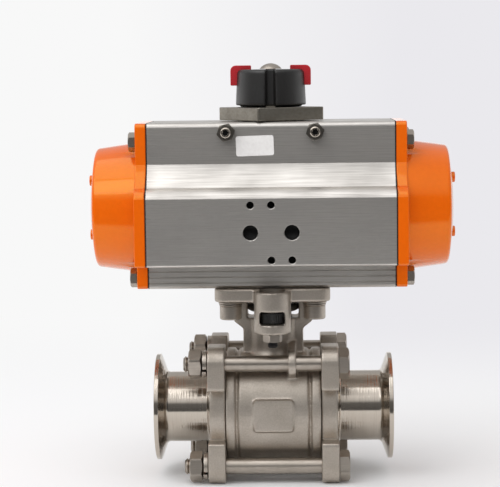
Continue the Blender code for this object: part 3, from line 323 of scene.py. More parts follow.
def hex_reach(flats: float, turn: float) -> Callable[[float], float]:
    """Radius of a hexagon as a function of the angle.

    Args:
        flats: Size across flats.
        turn: Angle of one corner, in degrees.

    Returns:
        The function.
    """
    sixth = math.pi / 3

    def reach(angle: float) -> float:
        """Radius at one angle."""
        off = (angle - math.radians(turn)) % sixth - sixth / 2
        return flats / 2 / math.cos(off)

    return reach


def reach_of(outline: Outline, centre: tuple[float, float]) -> Callable[[float], float]:
    """Radius of an outline, seen from a point inside it, as a function of the angle.

    Args:
        outline: Closed outline that each ray from the point meets once.
        centre: The point.

    Returns:
        The function.
    """
    middle = Vector(centre)
    edges = [(Vector(a) - middle, Vector(b) - middle) for a, b in zip(outline, outline[1:] + outline[:1])]

    def reach(angle: float) -> float:
        """Radius where the ray at one angle meets the outline.

        Args:
            angle: The angle in radians.

        Returns:
            The radius.
        """
        ray = Vector((math.cos(angle), math.sin(angle)))
        best = 0.0
        for start, end in edges:
            side = end - start
            across = ray.cross(side)
            if abs(across) < POLE:
                continue
            share = start.cross(ray) / across
            length = start.cross(side) / across
            if -POLE <= share <= 1 + POLE and length > 0:
                best = max(best, length)
        return best

    return reach


def hex_solid(axis: Axis, centre: tuple[float, float], flats: float, start: float, end: float, turn: float,
              bore: float = 0.0, both: bool = False) -> Solid:
    """Hexagon head or nut whose corners are turned off by a chamfer.

    Args:
        axis: Axis of the fastener.
        centre: Where the axis lies.
        flats: Size across flats.
        start: Bearing end.
        end: Free end, which is chamfered.
        turn: Angle of one corner, in degrees.
        bore: Radius of the hole through it, or 0 for a head.
        both: Whether the bearing end is chamfered too.

    Returns:
        The closed solid.
    """
    reach = hex_reach(flats, turn)
    sign = math.copysign(1, end - start)
    face = HEX_FACE * flats
    rows = [(bore, start)]
    if both:
        rows += [(face, start), (reach, lambda angle: start + sign * (reach(angle) - face) * HEX_SLOPE)]
    else:
        rows += [(reach, start)]
    rows += [(reach, lambda angle: end - sign * (reach(angle) - face) * HEX_SLOPE), (face, end), (bore, end)]
    return lofted(axis, centre, rows, HEX_SIDES, ring=bool(bore))


def thread_rows(radius: float, start: float, end: float, pitch: float) -> Outline:
    """Rows of a screw thread drawn as rings.

    Args:
        radius: Outer radius of the thread.
        start: Where the thread starts.
        end: Where it ends.
        pitch: Length of one ring.

    Returns:
        Radius and length of each row, from start to end.
    """
    depth = THREAD_DEPTH * pitch
    count = max(1, round(abs(end - start) / pitch))
    step = (end - start) / count
    rows = []
    for ring in range(count):
        rows += [(radius - depth, start + ring * step), (radius, start + (ring + 0.4) * step)]
        rows += [(radius, start + (ring + 0.6) * step)]
    return rows + [(radius - depth, end)]


def split_ring(axis: Axis, centre: tuple[float, float], inner: float, outer: float, start: float, end: float,
               opening: float, steps: int = 60) -> Solid:
    """Spring washer: a square section swept round, with a slit where its ends stand apart.

    Args:
        axis: Axis of the washer.
        centre: Where the axis lies.
        inner: Inner radius.
        outer: Outer radius.
        start: One face.
        end: The other face.
        opening: Angle of the slit's middle, in degrees.
        steps: Straight steps round it.

    Returns:
        The closed solid.
    """
    gap = 12.0
    lift = 0.12 * (end - start)
    edge = 0.12 * (outer - inner)
    solid = bmesh.new()
    loops = []
    for step in range(steps + 1):
        share = step / steps
        angle = math.radians(opening + gap / 2 + (360 - gap) * share)
        low = start + lift * share
        high = end - lift * (1 - share)
        corners = [(inner, low, edge), (outer, low, edge), (outer, high, edge), (inner, high, edge)]
        section = soften(corners, 2)
        loop = []
        for radius, along in section:
            u = centre[0] + radius * math.cos(angle)
            v = centre[1] + radius * math.sin(angle)
            loop.append(solid.verts.new(place(axis, u, v, along)))
        loops.append(loop)
    for first, second in zip(loops, loops[1:]):
        for index in range(len(first)):
            solid.faces.new((first[index - 1], first[index], second[index], second[index - 1]))
    solid.faces.new(loops[0])
    solid.faces.new(loops[-1])
    bmesh.ops.recalc_face_normals(solid, faces=solid.faces)
    return solid


def bar(axis: Axis, centre: tuple[float, float], radius: float, start: float, end: float,
        sides: int = SMALL_SIDES) -> Solid:
    """Plain round bar."""
    return lofted(axis, centre, [(0, start), (radius, start), (radius, end), (0, end)], sides)


def block(low: Sequence[float], high: Sequence[float]) -> Solid:
    """Rectangular block between two corners."""
    outline = [(low[0], low[1]), (high[0], low[1]), (high[0], high[1]), (low[0], high[1])]
    return prism(Axis.Z, outline, low[2], high[2])


def thing_from(name: str, *solids: Solid) -> bpy.types.Object:
    """Object that holds one or more solids in one mesh.

    Args:
        name: Name of the object.
        solids: Solids that are used up.

    Returns:
        The object, linked to the scene.
    """
    joined = bmesh.new()
    for solid in solids:
        mesh = bpy.data.meshes.new(name)
        solid.to_mesh(mesh)
        solid.free()
        joined.from_mesh(mesh)
        bpy.data.meshes.remove(mesh)
    mesh = bpy.data.meshes.new(name)
    joined.to_mesh(mesh)
    joined.free()
    thing = bpy.data.objects.new(name, mesh)
    bpy.context.scene.collection.objects.link(thing)
    return thing


def settle(thing: bpy.types.Object) -> None:
    """Make an object's modifiers part of its mesh.

    Args:
        thing: Object that is changed.
    """
    depsgraph = bpy.context.evaluated_depsgraph_get()
    mesh = bpy.data.meshes.new_from_object(thing.evaluated_get(depsgraph))
    old = thing.data
    thing.modifiers.clear()
    thing.data = mesh
    bpy.data.meshes.remove(old)
    mesh.name = thing.name


def combine(thing: bpy.types.Object, solids: Sequence[Solid], operation: str) -> None:
    """Join solids to an object, or cut them out of it.

    Args:
        thing: Object that is changed.
        solids: Solids that are used up.
        operation: UNION or DIFFERENCE.
    """
    for solid in solids:
        tool = thing_from("tool", solid)
        modifier = thing.modifiers.new("Combine", "BOOLEAN")
        modifier.operation = operation
        modifier.object = tool
        settle(thing)
        bpy.data.objects.remove(tool)


def cast(thing: bpy.types.Object, cell: float, rounds: int, keep: float) -> None:
    """Round every edge of a solid, as a casting has them.

    Args:
        thing: Object that is changed.
        cell: Size of the even cells that it is rebuilt from.
        rounds: How often the cells are smoothed.
        keep: Share of the faces that is kept.
    """
    cells = thing.modifiers.new("Cells", "REMESH")
    cells.mode = "VOXEL"
    cells.voxel_size = cell * MM
    smooth = thing.modifiers.new("Round", "SMOOTH")
    smooth.factor = 0.5
    smooth.iterations = rounds
    thin = thing.modifiers.new("Thin", "DECIMATE")
    thin.ratio = keep
    settle(thing)


def linear(colour: str) -> tuple[float, float, float, float]:
    """Linear colour with alpha.

    Args:
        colour: sRGB hex value such as #a0b0c0.

    Returns:
        Red, green, blue and alpha.
    """
    parts = [int(colour[place:place + 2], 16) / 255 for place in (1, 3, 5)]
    turned = [part / 12.92 if part <= 0.04045 else ((part + 0.055) / 1.055) ** 2.4 for part in parts]
    return (*turned, 1.0)


def add_node(tree: bpy.types.NodeTree, kind: str, inputs: dict[str | int, object] | None = None,
             **settings: object) -> bpy.types.Node:
    """Add a node with its settings, values and links.

    Args:
        tree: Node tree that it joins.
        kind: Blender's name of the node.
        inputs: Value of each input, or the output socket that feeds it.
        settings: Properties of the node.

    Returns:
        The node.
    """
    node = tree.nodes.new(kind)
    for name, value in settings.items():
        setattr(node, name, value)
    for name, value in (inputs or {}).items():
        if isinstance(value, bpy.types.NodeSocket):
            tree.links.new(value, node.inputs[name])
        else:
            node.inputs[name].default_value = value
    return node


@dataclass(frozen=True)
class Finish:
    """One real material with its grain.

    Attributes:
        name: What the material is and how its surface was made.
        slot: The record's material slot; not used by this script.
        colour: Main colour.
        tint: Colour of the grain's other half.
        metallic: 1 for a metal and 0 otherwise.
        roughness: Mean roughness.
        spread: How far the roughness varies.
        cell: Size of the grain along X, Y and Z.
        relief: Height of the grain.
        patch: Size of the broad patches.
        coat: Weight of a clear coat.
        glint: Tint of the sheen, for materials that are no metal.
        sheen_level: Strength of that sheen.
    """

    name: str
    slot: str
    colour: str
    tint: str
    metallic: float
    roughness: float
    spread: float
    cell: tuple[float, float, float]
    relief: float
    patch: float
    coat: float = 0.0
    glint: str = "#ffffff"
    sheen_level: float = 0.5

    def material(self) -> bpy.types.Material:
        """Material of this finish, made on first use."""
        found = bpy.data.materials.get(self.name)
        if found:
            return found
        material = bpy.data.materials.new(self.name)
        material.use_nodes = True
        tree = material.node_tree
        shader = tree.nodes["Principled BSDF"]
        shader.inputs["Metallic"].default_value = self.metallic
        shader.inputs["Coat Weight"].default_value = self.coat
        shader.inputs["Coat Roughness"].default_value = COAT_ROUGHNESS
        shader.inputs["Specular Tint"].default_value = linear(self.glint)
        shader.inputs["Specular IOR Level"].default_value = self.sheen_level
        self.grain(tree, shader)
        return material

    def grain(self, tree: bpy.types.NodeTree, shader: bpy.types.Node) -> None:
        """Vary colour, roughness and height by a fine grain and by broad patches.

        Args:
            tree: Node tree of the material.
            shader: Its main shader.
        """
        coords = add_node(tree, "ShaderNodeTexCoord").outputs["Object"]
        scale = tuple(1 / (size * MM) for size in self.cell)
        stretched = add_node(tree, "ShaderNodeMapping", {"Vector": coords, "Scale": scale})
        fine = add_node(
            tree, "ShaderNodeTexNoise", {"Vector": stretched.outputs[0], "Scale": 1.0, "Detail": 3.0}
        ).outputs["Fac"]
        broad = add_node(
            tree, "ShaderNodeTexNoise", {"Vector": coords, "Scale": 1 / (self.patch * MM), "Detail": 2.0}
        ).outputs["Fac"]
        both = add_node(tree, "ShaderNodeMath", {0: fine, 1: broad}, operation="ADD").outputs[0]
        least, most = NOISE_RANGE
        share = add_node(
            tree, "ShaderNodeMapRange", {"Value": both, "From Min": least, "From Max": most}
        ).outputs["Result"]
        mixed = add_node(
            tree,
            "ShaderNodeMix",
            {"Factor": share, "A": linear(self.colour), "B": linear(self.tint)},
            data_type="RGBA",
        )
        rough = add_node(
            tree,
            "ShaderNodeMapRange",
            {"Value": share, "To Min": self.roughness - self.spread, "To Max": self.roughness + self.spread},
        ).outputs["Result"]
        bump = add_node(
            tree, "ShaderNodeBump", {"Height": fine, "Distance": self.relief * MM, "Strength": 1.0}
        ).outputs["Normal"]
        tree.links.new(mixed.outputs["Result"], shader.inputs["Base Color"])
        tree.links.new(rough, shader.inputs["Roughness"])
        tree.links.new(bump, shader.inputs["Normal"])


# Investment-cast stainless, bead blasted: a matt, warm grey with a fine peened grain and soft highlights.
CAST_STAINLESS = Finish("cast_blasted_stainless", "cast_stainless", "#c6bdb3", "#b6ada2", 1.0, 0.46, 0.06,
                        (0.9, 0.9, 0.9), 0.05, 14.0)
# Turned and polished stainless: bright reflections that the tool rings round the pipe axis smear along it.
POLISHED_STAINLESS = Finish("turned_polished_stainless", "polished_stainless", "#c9c0b5", "#bfb5a9", 1.0,
                            0.10, 0.03, (0.5, 40.0, 40.0), 0.16, 25.0)
# Cold-headed stainless fasteners: bright, slightly warm, with drawn-wire streaks.
FASTENER_STAINLESS = Finish("cold_headed_stainless", "bolt_stainless", "#bab1a7", "#aca399", 1.0, 0.34, 0.05,
                            (6.0, 0.8, 0.8), 0.003, 6.0)
# Extruded aluminium, brushed lengthwise and clear anodised: long streaks along X. Real lines are about
# 0.15 mm apart, which is too fine to show, so they are drawn 0.7 mm apart.
BRUSHED_ALUMINIUM = Finish("brushed_anodised_aluminium", "brushed_aluminium", "#e4e0db", "#c1bdb8", 1.0,
                           0.45, 0.08, (30.0, 0.7, 0.7), 0.03, 30.0)
# Die-cast aluminium with gloss powder coat: saturated orange under a smooth skin with faint orange peel.
ORANGE_COAT = Finish("gloss_orange_powder_coat", "orange_paint", "#ee6104", "#e75c03", 0.0, 0.18, 0.03,
                     (2.6, 2.6, 2.6), 0.006, 40.0, coat=0.5, glint="#d8ff50", sheen_level=0.8)
# Zinc-plated steel: dull grey with cloudy patches.
ZINC_STEEL = Finish("zinc_plated_steel", "zinc_plate", "#a19c92", "#8f897f", 1.0, 0.42, 0.06,
                    (8.0, 1.2, 1.2), 0.01, 9.0)
# Oiled black steel: dark, with a low sheen.
DARK_STEEL = Finish("oiled_dark_steel", "dark_steel", "#858079", "#6f6a64", 1.0, 0.36, 0.08,
                    (1.5, 1.5, 1.5), 0.015, 8.0)
# Painted shade for the walls of drilled holes and sockets: almost black, half matt, standing in for the shade
# deep inside them.
PAINTED_SHADE_BORE = Finish("oil_stained_drilled_bore", "brushed_aluminium", "#1a1817", "#0f0e0d", 0.0, 0.45, 0.08,
                   (1.0, 1.0, 1.0), 0.02, 5.0)
# Moulded black nylon: near black, with a fine spark texture that breaks up its sheen.
BLACK_NYLON = Finish("moulded_black_nylon", "black_plastic", "#1b1918", "#131211", 0.0, 0.44, 0.06,
                     (0.7, 0.7, 0.7), 0.02, 10.0, sheen_level=0.8)
# Moulded red ABS: bright and even, half gloss.
RED_ABS = Finish("moulded_red_abs", "red_plastic", "#bb1a26", "#b01520", 0.0, 0.30, 0.04,
                 (1.0, 1.0, 1.0), 0.008, 8.0)
# Cut nitrile sheet: black and matt.
BLACK_NITRILE = Finish("cut_black_nitrile", "black_rubber", "#1d1c1b", "#151514", 0.0, 0.62, 0.06,
                       (0.8, 0.8, 0.8), 0.02, 10.0)
# Turned fluoropolymer: waxy white with faint tool rings.
WHITE_PTFE = Finish("turned_white_ptfe", "white_ptfe", "#ebe9e3", "#e1ded6", 0.0, 0.46, 0.05,
                    (0.6, 6.0, 6.0), 0.01, 12.0)
# Turned acetal: creamy white, half matt.
ACETAL = Finish("turned_natural_acetal", "acetal", "#dcd7c8", "#d2ccbb", 0.0, 0.44, 0.05,
                (0.8, 0.8, 0.8), 0.01, 9.0)
# Coated label paper: clean white, half matt.
LABEL_PAPER = Finish("coated_label_paper", "white_ptfe", "#eceae8", "#e3e0de", 0.0, 0.48, 0.04,
                     (1.6, 1.6, 1.6), 0.004, 6.0)


def dress(thing: bpy.types.Object, finish: Finish, body: Body, *stands_for: str,
          crease: float = CREASE) -> None:
    """Give a piece its finish, its shading and its body, and hide the frame nodes that it stands for.

    Args:
        thing: The piece.
        finish: Its finish.
        body: Body that it rides on.
        stands_for: Names of the frame nodes that it replaces.
        crease: Angle above which an edge is sharp.
    """
    thing.data.materials.clear()
    thing.data.materials.append(finish.material())
    thing.data.shade_smooth()
    thing.data.set_sharp_from_angle(angle=crease)
    # Large faces keep their own direction, so that flat walls are shaded flat right up to their fillets.
    flat = thing.modifiers.new("Flat", "WEIGHTED_NORMAL")
    flat.keep_sharp = True
    settle(thing)
    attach(thing, body.value)
    if stands_for:
        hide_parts(*stands_for)
    LOG.info("%s: %s, on %s, %d faces", thing.name, finish.name, body.value, len(thing.data.polygons))


def add_nut(name: str, node: str, axis: Axis, flats: float, turn: float, thread: float,
            finish: Finish = FASTENER_STAINLESS) -> None:
    """Make a hexagon nut that is chamfered on both faces.

    Args:
        name: Name of the piece.
        node: Frame node that it stands for.
        axis: Axis of the nut.
        flats: Size across flats.
        turn: Angle of one corner, in degrees.
        thread: Radius of the thread in it.
        finish: Its finish.
    """
    low, high = span(node)
    along = list(Axis).index(axis)
    solid = hex_solid(
        axis, axis_at(node, axis), flats, high[along], low[along], turn, thread + THREAD_PLAY, both=True
    )
    dress(thing_from(name, solid), finish, Body.HOUSING, node)


def line_holes(thing: bpy.types.Object, finish: Finish, inside: Callable[[Vector], bool]) -> None:
    """Paint shade on the faces inside holes, as a finish of their own.

    Args:
        thing: Piece with the holes.
        finish: Painted shade of the holes.
        inside: Whether a place in millimetres is inside a hole.
    """
    thing.data.materials.append(finish.material())
    for face in thing.data.polygons:
        if inside(face.center / MM):
            face.material_index = 1


@dataclass
class PipeEnd:
    """End piece of the valve: an eared flange with a tube and a clamp ferrule."""

    side: Side
    ferrule: float = 32.0
    rim: float = 3.0
    cone: float = 3.6
    cone_top: float = 31.0
    groove: float = 28.25
    groove_half: float = 1.4
    tube: float = 21.2
    bore: float = 19.2
    port: float = 16.0
    tube_start: float = 1.0
    collar: float = 2.8
    land: float = 0.4
    hub: float = 33.0
    hub_bore: float = 18.6
    hub_step: float = 0.8
    bolt_half: float = 30.6
    ear: float = 10.0
    ear_length: float = 25.2
    ear_blend: float = 1.5
    hole: float = 5.05
    flange: float = 10.3

    def build(self) -> None:
        """Make the tube with its ferrule, and the flange."""
        low, high = span(f"{self.side.word}_end")
        self.pipe_z = axis_at(f"{self.side.word}_end", Axis.X)[1]
        inner, outer = sorted((abs(low.x), abs(high.x)))
        self.build_tube(inner, outer)
        self.build_flange(inner)

    def build_tube(self, inner: float, face: float) -> None:
        """Make the polished tube, ferrule and bore.

        Args:
            inner: Distance of the flange's inner face from the middle.
            face: Distance of the ferrule's face from the middle.
        """
        shoulder = inner + self.flange
        back = face - self.rim
        foot = back - self.cone
        loop = soften([
            (self.port, inner + self.tube_start, 0),
            (self.tube + self.collar, inner + self.tube_start, 0),
            (self.tube + self.collar, shoulder + self.land, self.land),
            (self.tube, shoulder + self.land, self.collar - self.land),
            (self.tube, foot, 2.5),
            (self.cone_top, back, 0.3),
            (self.ferrule, back + 0.4, 0.5),
            (self.ferrule, face, 0.5),
            (self.groove + self.groove_half, face, 0.3),
            (self.groove, face - self.groove_half, 0.9),
            (self.groove - self.groove_half, face, 0.3),
            (self.bore, face, 0.4),
            (self.bore, foot, 3.0),
            (self.port, shoulder, 3.0),
        ])
        rows = [(radius, self.side.value * along) for radius, along in loop]
        solid = lofted(Axis.X, (0, self.pipe_z), rows, WIDE_SIDES, True)
        tube = thing_from(f"{self.side.word}_clamp_tube", solid)
        dress(tube, POLISHED_STAINLESS, Body.HOUSING, f"{self.side.word}_end")

    def build_flange(self, inner: float) -> None:
        """Make the cast flange with its four raised ears.

        Args:
            inner: Distance of the flange's inner face from the middle.
        """
        sign = self.side.value
        back = sign * inner
        face = sign * (inner + self.flange)
        hub_face = face - sign * self.hub_step
        hub = [(self.hub_bore, back), (self.hub, back), (self.hub, hub_face), (self.hub_bore, hub_face)]
        solids = [lofted(Axis.X, (0, self.pipe_z), hub, WIDE_SIDES, True)]
        reach = self.bolt_half + self.ear
        root = reach - self.ear_length
        blend = self.ear_blend
        corners = [(root, root, 0), (reach, root, blend), (reach, reach, self.ear), (root, reach, blend)]
        outline = soften(corners)
        for out, up in QUARTERS:
            shape = [(out * u, self.pipe_z + up * v) for u, v in outline]
            bolt = (out * self.bolt_half, self.pipe_z + up * self.bolt_half)
            edge = reach_of(shape, bolt)
            ear = [(self.hole, back), (edge, back), (edge, face), (self.hole, face)]
            solids.append(lofted(Axis.X, bolt, ear, WIDE_SIDES, True))
        flange = thing_from(f"{self.side.word}_eared_flange", *solids)
        cast(flange, cell=0.6, rounds=4, keep=0.35)
        dress(flange, CAST_STAINLESS, Body.HOUSING)


@dataclass
class CentreCasting:
    """Centre body, neck, yoke, lug and mounting pad, cast in one."""

    half: float = 28.0
    cavity: float = 24.9
    radius: float = 35.0
    rim: float = 35.4
    rim_width: float = 5.3
    rim_groove: tuple[float, float] = (2.2, 1.5)
    plate: tuple[float, float] = (23.3, 19.2)
    plate_proud: float = 0.8
    small_fillet: float = 2.0
    eye_x: float = 11.3
    eye_width: float = 4.5
    eye_radius: float = 8.15
    bolt_half: float = 30.6
    bolt_hole: float = 5.05
    neck: float = 15.8
    neck_fillet: float = 7.0
    neck_sink: float = 5.0
    rib: tuple[float, float] = (18.0, 18.0)
    leg_out: float = 23.6
    yoke: float = 17.3
    yoke_height: float = 12.5
    flare: float = 6.2
    flare_land: float = 1.9
    pad: float = 68.2
    pad_thickness: float = 7.8
    pad_corner: float = 7.0
    pad_bolt: float = 24.75
    pad_hole: float = 4.3
    lug: float = 10.75
    lug_drop: float = 5.6
    lug_step: float = 1.2
    window: tuple[float, float] = (14.5, 7.6)
    lock_hole: float = 3.3
    packing: float = 11.3

    def build(self) -> None:
        """Join the solids, cut the holes and round the edges."""
        pipe_z = axis_at("left_end", Axis.X)[1]
        top = span("valve_body")[1].z
        under = top - self.pad_thickness
        neck_top = under - self.yoke_height
        lug_y = -self.pad / 2
        casting = thing_from("valve_casting", self.barrel(pipe_z))
        combine(casting, self.upper_solids(pipe_z, neck_top, under, top, lug_y), "UNION")
        combine(casting, self.cut_solids(pipe_z, neck_top, top, lug_y), "DIFFERENCE")
        cast(casting, cell=0.7, rounds=4, keep=0.35)
        dress(casting, CAST_STAINLESS, Body.HOUSING, "valve_body")

    def barrel(self, pipe_z: float) -> Solid:
        """Round centre body with a rim and a groove at each end.

        Args:
            pipe_z: Height of the pipe axis.

        Returns:
            The solid that the others are joined to.
        """
        rim_in = self.half - self.rim_width
        wide, deep = self.rim_groove
        side = [
            (0, self.half),
            (self.rim, self.half),
            (self.rim, rim_in + 0.3),
            (self.radius - deep, rim_in - wide / 4),
            (self.radius - deep, rim_in - 3 * wide / 4),
            (self.radius, rim_in - wide),
        ]
        rows = side + [(radius, -along) for radius, along in reversed(side)]
        return lofted(Axis.X, (0, pipe_z), rows, ROUND_SIDES)

    def upper_solids(self, pipe_z: float, neck_top: float, under: float, top: float,
                     lug_y: float) -> list[Solid]:
        """Neck, yoke legs, nameplate, bolt eye, front lug and pad.

        Args:
            pipe_z: Height of the pipe axis.
            neck_top: Height of the neck's top.
            under: Height of the pad's underside.
            top: Height of the pad's top.
            lug_y: Where the lug's screw axis lies.

        Returns:
            The solids that are joined to the barrel.
        """
        foot = pipe_z + self.radius - self.neck_sink
        curve = arc((self.neck + self.neck_fillet, foot + self.neck_fillet), self.neck_fillet, 270, 180, 6)
        neck = [(0, pipe_z), (self.neck + self.neck_fillet, pipe_z)]
        neck += curve + [(self.neck, neck_top), (0, neck_top)]
        half_rib = self.rib[0]
        leg = [
            (half_rib, pipe_z, 0),
            (half_rib, neck_top - self.flare, self.small_fillet),
            (self.leg_out, neck_top - self.flare_land, self.small_fillet),
            (self.leg_out, under + self.pad_thickness / 2, 0),
        ]
        yoke = soften(leg + [(-u, v, radius) for u, v, radius in reversed(leg)])
        plate = rounded_rectangle(self.plate, self.small_fillet, (0, pipe_z))
        bolt = (-self.bolt_half, pipe_z + self.bolt_half)
        eye = arc(bolt, self.eye_radius, 75, 225, 16)
        eye += [(-self.radius / 2, pipe_z + self.radius / 2), (0, pipe_z + self.radius / 2)]
        eye += [(0, neck_top - self.yoke_height)]
        lug = arc((0, lug_y), self.lug, 180, 360, 24)
        lug += [(self.lug, -self.neck / 2), (-self.lug, -self.neck / 2)]
        pad = rounded_rectangle((self.pad, self.pad), self.pad_corner)
        return [
            lofted(Axis.Z, (0, 0), neck, ROUND_SIDES),
            prism(Axis.Y, yoke, -self.rib[1] / 2, self.rib[1] / 2),
            prism(Axis.Y, plate, -self.radius - self.plate_proud, -self.radius / 2),
            prism(Axis.X, eye, self.eye_x - self.eye_width / 2, self.eye_x + self.eye_width / 2),
            prism(Axis.Z, lug, neck_top - self.lug_drop, top - self.lug_step),
            prism(Axis.Z, pad, under, top),
        ]

    def cut_solids(self, pipe_z: float, neck_top: float, top: float, lug_y: float) -> list[Solid]:
        """Cavity, stem bore, yoke space, lug window and screw holes.

        Args:
            pipe_z: Height of the pipe axis.
            neck_top: Height of the neck's top.
            top: Height of the pad's top.
            lug_y: Where the lug's screw axis lies.

        Returns:
            The solids that are cut from the casting.
        """
        over = top + self.pad_thickness
        wide, tall = self.window
        middle = neck_top + tall / 2
        bolt = (-self.bolt_half, pipe_z + self.bolt_half)
        cuts = [
            bar(Axis.X, (0, pipe_z), self.cavity, -self.pad, self.pad, CUT_SIDES),
            bar(Axis.Z, (0, 0), self.packing, pipe_z, over, CUT_SIDES),
            bar(Axis.Z, (0, 0), self.yoke, neck_top, over, CUT_SIDES),
            block((-wide / 2, -self.pad, neck_top + HAIR), (wide / 2, 0, neck_top + tall)),
            bar(Axis.Z, (0, lug_y), wide / 2, middle, over),
            bar(Axis.Z, (0, lug_y), self.lock_hole, pipe_z + self.radius, middle),
            bar(Axis.X, bolt, self.bolt_hole, self.eye_x - self.eye_width, self.eye_x + self.eye_width),
        ]
        for out, up in QUARTERS:
            bolt = (out * self.pad_bolt, up * self.pad_bolt)
            cuts.append(bar(Axis.Z, bolt, self.pad_hole, neck_top, over))
        return cuts


@dataclass
class ThroughBolts:
    """Four bolts that clamp the ends to the centre body, with split washers and nuts on the left."""

    radius: float = 4.75
    flats: float = 16.0
    head: float = 6.0
    pitch: float = 1.5
    point: float = 1.2
    runout: float = 0.5
    washer: float = 8.0
    washer_slit: float = 200.0
    upper_turn: float = 30.0
    lower_turn: float = 14.0
    nut_twist: float = 7.0

    def build(self) -> None:
        """Make each bolt with its washer and nut."""
        for level, turn in (("upper", self.upper_turn), ("lower", self.lower_turn)):
            for face in ("front", "rear"):
                self.build_bolt(f"{level}_{face}", turn)

    def build_bolt(self, name: str, turn: float) -> None:
        """Make one bolt, its split washer and its nut.

        Args:
            name: Which corner it is at.
            turn: Angle of the hexagon's corner in degrees.
        """
        low, high = span(f"body_bolt_{name}")
        washer_low, washer_high = span(f"spring_washer_{name}")
        centre = axis_at(f"body_bolt_{name}", Axis.X)
        start = high.x - self.head
        tip = low.x
        run = self.point / 2
        thread_end = washer_high.x + self.washer
        rows = [(0, tip), (self.radius - self.point, tip), (self.radius - run, tip + run)]
        rows += thread_rows(self.radius, tip + run, thread_end, self.pitch)
        rows += [(self.radius, thread_end + self.runout), (self.radius, start + 1), (0, start + 1)]
        head = hex_solid(Axis.X, centre, self.flats, start, high.x, turn)
        bolt = thing_from(f"through_bolt_{name}", head)
        combine(bolt, [lofted(Axis.X, centre, rows, SMALL_SIDES)], "UNION")
        dress(bolt, FASTENER_STAINLESS, Body.HOUSING, f"body_bolt_{name}")
        nut_turn = turn + self.nut_twist
        node = f"body_nut_{name}"
        add_nut(f"through_nut_{name}", node, Axis.X, self.flats, nut_turn, self.radius)
        bore = self.radius + THREAD_PLAY
        solid = split_ring(Axis.X, centre, bore, self.washer, washer_low.x, washer_high.x, self.washer_slit)
        ring = thing_from(f"split_washer_{name}", solid)
        dress(ring, FASTENER_STAINLESS, Body.HOUSING, f"spring_washer_{name}")


@dataclass
class PadScrews:
    """Four socket screws from the pad up into the actuator, each with a plain and a spring washer."""

    shank: float = 4.0
    head: float = 6.5
    head_height: float = 8.0
    plain: tuple[float, float] = (7.2, 1.2)
    spring: tuple[float, float] = (6.8, 1.15)
    socket: float = 6.0
    socket_depth: float = 4.0

    def build(self) -> None:
        """Make each screw with its washers."""
        for face in ("front", "rear"):
            for side in Side:
                self.build_screw(f"{face}_{side.word}")

    def build_screw(self, name: str) -> None:
        """Make one screw.

        Args:
            name: Which corner it is at.
        """
        low, high = span(f"mounting_screw_{name}")
        centre = axis_at(f"mounting_screw_{name}", Axis.Z)
        base = low.z
        shoulder = base + self.head_height
        reach = hex_reach(self.socket, 0)
        spring_top = shoulder + self.spring[1]
        plain_top = spring_top + 0.1 + self.plain[1]
        # The small lengths break each rim and part the washers.
        rows = [
            (0, base + self.socket_depth),
            (reach, base + self.socket_depth),
            (reach, base + 0.3),
            (lambda angle: reach(angle) + 0.3, base),
            (self.head - 0.7, base),
            (self.head - 0.2, base + 0.3),
            (self.head, base + 0.8),
            (self.head, shoulder - 0.3),
            (self.head - 0.3, shoulder),
            (self.spring[0] - 0.25, shoulder + 0.05),
            (self.spring[0], shoulder + 0.3),
            (self.spring[0], spring_top - 0.2),
            (self.spring[0] - 0.6, spring_top),
            (self.plain[0] - 0.3, spring_top + 0.1),
            (self.plain[0], spring_top + 0.35),
            (self.plain[0], plain_top - 0.2),
            (self.plain[0] - 0.2, plain_top),
            (self.shank, plain_top),
            (self.shank, high.z),
            (0, high.z),
        ]
        screw = thing_from(f"pad_screw_{name}", lofted(Axis.Z, centre, rows, HEX_SIDES))
        dress(screw, FASTENER_STAINLESS, Body.HOUSING, f"mounting_screw_{name}")


@dataclass
class LockScrew:
    """Knurled screw in the lug's window, with its nut under the lug, and the gland nut in the yoke."""

    radius: float = 3.0
    head: float = 6.8
    head_height: float = 6.8
    ridges: int = 36
    ridge_depth: float = 0.35
    pitch: float = 1.0
    nut_flats: float = 10.0
    nut_turn: float = 15.0
    gland_flats: float = 29.0
    gland_height: float = 5.1
    gland_sleeve: float = 11.0
    stem: float = 7.5

    def build(self) -> None:
        """Make the screw, its nut and the gland nut."""
        low, high = span("lock_screw")
        centre = axis_at("lock_screw", Axis.Z)
        seat = high.z - self.head_height

        def ridged(angle: float) -> float:
            """Radius of the knurled head."""
            return self.head - self.ridge_depth * (0.5 - 0.5 * math.cos(self.ridges * angle))

        rows = [(0, low.z), (self.radius - 0.5, low.z)]
        rows += thread_rows(self.radius, low.z + 0.4, seat, self.pitch)
        rows += [(self.head - 0.8, seat), (ridged, seat + 0.5), (ridged, high.z - 0.7)]
        rows += [(self.head - 0.9, high.z), (0, high.z)]
        screw = thing_from("knurled_lock_screw", lofted(Axis.Z, centre, rows, 4 * self.ridges))
        dress(screw, BLACK_NYLON, Body.HOUSING, "lock_screw")
        add_nut("lock_screw_nut", "lock_nut", Axis.Z, self.nut_flats, self.nut_turn, self.radius)
        low, high = span("gland_nut")
        start = high.z - self.gland_height
        outside = self.gland_sleeve
        rows = [(self.stem, low.z), (outside, low.z), (outside, start), (self.stem, start)]
        sleeve = lofted(Axis.Z, (0, 0), rows, SMALL_SIDES, True)
        nut = hex_solid(Axis.Z, (0, 0), self.gland_flats, start, high.z, 0, self.stem, both=True)
        gland = thing_from("packing_gland", nut, sleeve)
        dress(gland, DARK_STEEL, Body.ROTOR, "gland_nut")


